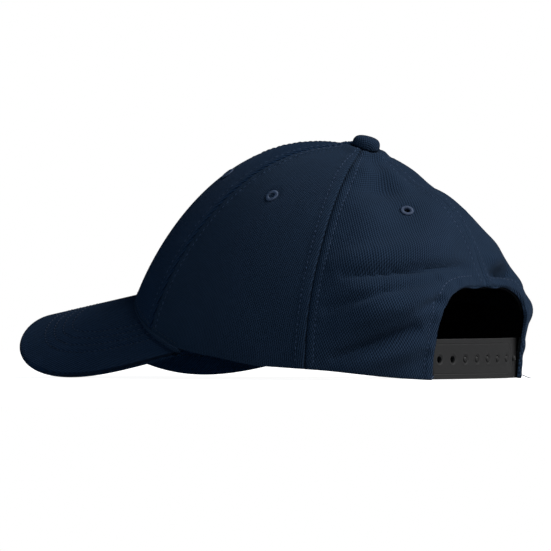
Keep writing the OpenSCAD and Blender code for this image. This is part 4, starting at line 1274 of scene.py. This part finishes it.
def edge_gap(points, length):
    """Distance in from the long edges and the rounded end, but not from the hinge end."""
    x = points[:, 0] - (length - END_R)
    y = np.abs(points[:, 1] - STRAP_W / 2) - (STRAP_W / 2 - END_R)
    out = np.hypot(np.maximum(x, 0), np.maximum(y, 0)) + np.minimum(np.maximum(x, y), 0)
    return END_R - out


def densify(loop, step):
    done = []
    for a, b in zip(loop, np.roll(loop, -1, axis=0)):
        n = max(1, int(np.linalg.norm(b - a) / step))
        done.append(lerp(a, b, np.arange(n)[:, None] / n))
    return np.concatenate(done)


def strap_plate(length, holes=(), groove=0.0):
    """Flat strap as points and faces: x along, y across, z the thickness."""
    low = corner(length, 0, 12)
    outline = np.concatenate([[[0, 0]], low, across_strap(low)[::-1], [[0, STRAP_W]]])
    loops = [densify(outline, STRAP_STEPS[0])] + [circle(x, HOLE_R) for x in holes]
    edges, count = [], 0
    for loop in loops:
        n = len(loop)
        edges += [(count + i, count + (i + 1) % n) for i in range(n)]
        count += n
    insets = np.concatenate([EDGE_INSETS, GROOVE_INSET + np.arange(-0.45, 0.46, 0.15)])
    ys = np.concatenate([np.arange(STRAP_STEPS[2], STRAP_W, STRAP_STEPS[2]), insets, STRAP_W - insets])
    free = [cols(np.arange(0.3, length, STRAP_STEPS[1])[:, None], np.unique(ys.round(3))).reshape(-1, 2)]
    for inset in insets:
        low = corner(length, inset, 20)
        free += [low, across_strap(low), cols(length - inset, np.linspace(END_R, STRAP_W - END_R, 16)[1:-1])]
    free = np.concatenate(free + [circle(x, r) for x in holes for r in RIM_RINGS])
    keep = (edge_gap(free, length) > EDGE_CLEAR) & (free[:, 0] > EDGE_CLEAR)
    for x in holes:
        keep &= from_hole(free, x) > HOLE_R + HOLE_CLEAR
    co, tris, _ = triangulated(np.concatenate(loops + [free[keep]]), edges)
    gap = edge_gap(co, length)
    inward = (1 - gap / EDGE_INSETS[-1]).clip(0)
    fall = STRAP_ROUND * (1 - np.sqrt(np.clip(1 - inward**2, 0, 1)))
    z = STRAP_T - fall - groove * bell(gap, GROOVE_INSET, GROOVE_W)
    for x in holes:
        tris = tris[from_hole(co[tris].mean(1), x) > HOLE_R - 0.01]
        r = from_hole(co, x)
        sunk = RIM_SINK * (1 - smooth((r - HOLE_R) / (RIM_R - HOLE_R)))
        z = z - sunk + RIM_LIFT * bell(r, RIM_AT, RIM_W)
    return np.concatenate([cols(*co.T, z), cols(*co.T, fall)]), solid_sheet(tris, len(co))


def bend(points, start, direction, radius):
    """Flat strap points onto an arc of the given outer radius."""
    x, y, z = points.T
    b, r = start + direction * x / radius, radius - STRAP_T + z
    return cols(STRAP_CENTRE[0] + r * np.sin(b), STRAP_CENTRE[1] + r * np.cos(b), STRAP_FOOT + y)


holes = [FIRST_HOLE + i * HOLE_PITCH for i in range(HOLE_COUNT)]
points, faces = strap_plate(LEFT_LENGTH, holes, GROOVE_DEPTH)
left = bend(points, LEFT_BEARING, -1, STRAP_R), [f[::-1] for f in faces]
piece("strap_left_moulded", left, STRAP, "left_strap", ["strap_left"], sharp=35)

points, faces = strap_plate(RIGHT_LENGTH)
parts = [(bend(points, RIGHT_BEARING, 1, RIGHT_R), faces)]
tall = STRAP_GAP + STRAP_T + PEG_STAND
dome = [(PEG_R * math.cos(a), tall - PEG_DOME + PEG_DOME * math.sin(a)) for a in np.linspace(90, 0, 8) * DEG]
peg = dome_solid(lathe([(0, tall)] + dome[1:] + [
    (PEG_R, 0.3), (PEG_R + 0.25, 0), (PEG_R, PEG_ROOT), (0, PEG_ROOT)], 28))
for b in map(hole_bearing, range(FIRST_PEG, HOLE_COUNT + 1)):
    out = np.array([math.sin(b), math.cos(b), 0])
    origin = np.array([*STRAP_CENTRE, STRAP_FOOT + HOLE_Z]) + out * RIGHT_R
    parts.append(placed(peg, frame_at(out, np.array([0, 0, 1.0])), origin))
piece("strap_right_moulded", merged(parts), STRAP, "right_strap", ["strap_right"], sharp=35)

for sheet in declared:
    cloth_cut(*sheet)

# CAD nodes that stay get their finish
for node, material in (("button_rivet", STEEL), ("strap_tab_left", STRAP), ("strap_tab_right", STRAP)):
    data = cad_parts[node].data
    data.materials.clear()
    data.materials.append(material)

# Stage, light and camera
FLOOR_HALF, FLOOR_GREY, FLOOR_GLOW = 1000, (0.35, 0.35, 0.35, 1), 0.95
SKY, SKY_LEVEL = (0.6, 0.8, 1, 1), 0.05
LAMP_D, LAMP_AIM, WHITE, COOL = 0.6, (0, -0.02, 0.06), (1, 1, 1), (0.45, 0.76, 1)
LAMPS = {
    "key": ((-0.63, 1.08, 1.33), 31, WHITE),
    "side": ((0.18, 1.67, 0.7), 10.5, WHITE),
    "high": ((0.34, 1.23, 1.33), 22, WHITE),
    "front": ((1.2, -1.3, 0.25), 7.5, COOL),
    "low": ((1.73, 0.9, 0.1), 3, COOL),
}
scene = bpy.context.scene
scene.view_settings.view_transform = "Standard"
scene.world = bpy.data.worlds.new("studio")
scene.world.use_nodes = True
sky = Nodes(scene.world.node_tree)
ambient = sky.plug(sky.tree.nodes["Background"], Color=SKY, Strength=SKY_LEVEL)
white = sky.add("Background", Color=(*WHITE, 1))
seen = sky.add("LightPath").outputs["Is Camera Ray"]
pick = sky.add("MixShader", i0=seen, i1=ambient.outputs[0], i2=white.outputs[0])
sky.plug(sky.tree.nodes["World Output"], Surface=pick.outputs[0])

square = FLOOR_HALF * np.array([(-1, -1, 0), (1, -1, 0), (1, 1, 0), (-1, 1, 0)])
floor = mesh_object("floor", (square, [(0, 1, 2, 3)]))
matt = Shader("pale_floor", 0.9, Base_Color=FLOOR_GREY)
seen = matt.add("LightPath").outputs["Is Camera Ray"]
glow = matt.add("Emission", Strength=matt.math("MULTIPLY", seen, FLOOR_GLOW))
both = matt.add("AddShader", i0=matt.bsdf.outputs[0], i1=glow.outputs[0])
matt.plug(matt.tree.nodes["Material Output"], Surface=both.outputs[0])
floor.data.materials.append(matt.material)


def stand(name, data, place, toward, axis):
    """Puts a lamp or camera in the scene with one of its axes along a direction."""
    obj = bpy.data.objects.new(name, data)
    scene.collection.objects.link(obj)
    obj.location = place
    obj.rotation_euler = toward.to_track_quat(axis, "Y").to_euler()
    return obj


for name, (place, watts, colour) in LAMPS.items():
    data = bpy.data.lights.new(name, "AREA")
    data.shape, data.size, data.energy, data.color = "DISK", LAMP_D, watts, colour
    stand(name, data, place, Vector(LAMP_AIM) - Vector(place), "-Z")

VIEW_TURN, VIEW_RISE = 30 * DEG, 0.37 * DEG
VIEW_FAR, VIEW_WIDE, PIXELS, ORIGIN_AT = 10, 0.2755, 551, (345.8, 378.6)
back = Vector((math.cos(VIEW_TURN) * math.cos(VIEW_RISE), math.sin(VIEW_TURN) * math.cos(VIEW_RISE),
               math.sin(VIEW_RISE)))
right = Vector((-math.sin(VIEW_TURN), math.cos(VIEW_TURN), 0))
above = back.cross(right)
pixel = VIEW_WIDE / PIXELS
aim = right * (PIXELS / 2 - ORIGIN_AT[0]) * pixel + above * (ORIGIN_AT[1] - PIXELS / 2) * pixel
camera = bpy.data.cameras.new("camera")
camera.sensor_width = 36
camera.lens = camera.sensor_width * VIEW_FAR / VIEW_WIDE
camera.clip_end = 4 * VIEW_FAR
scene.camera = stand("camera", camera, aim + back * VIEW_FAR, back, "Z")
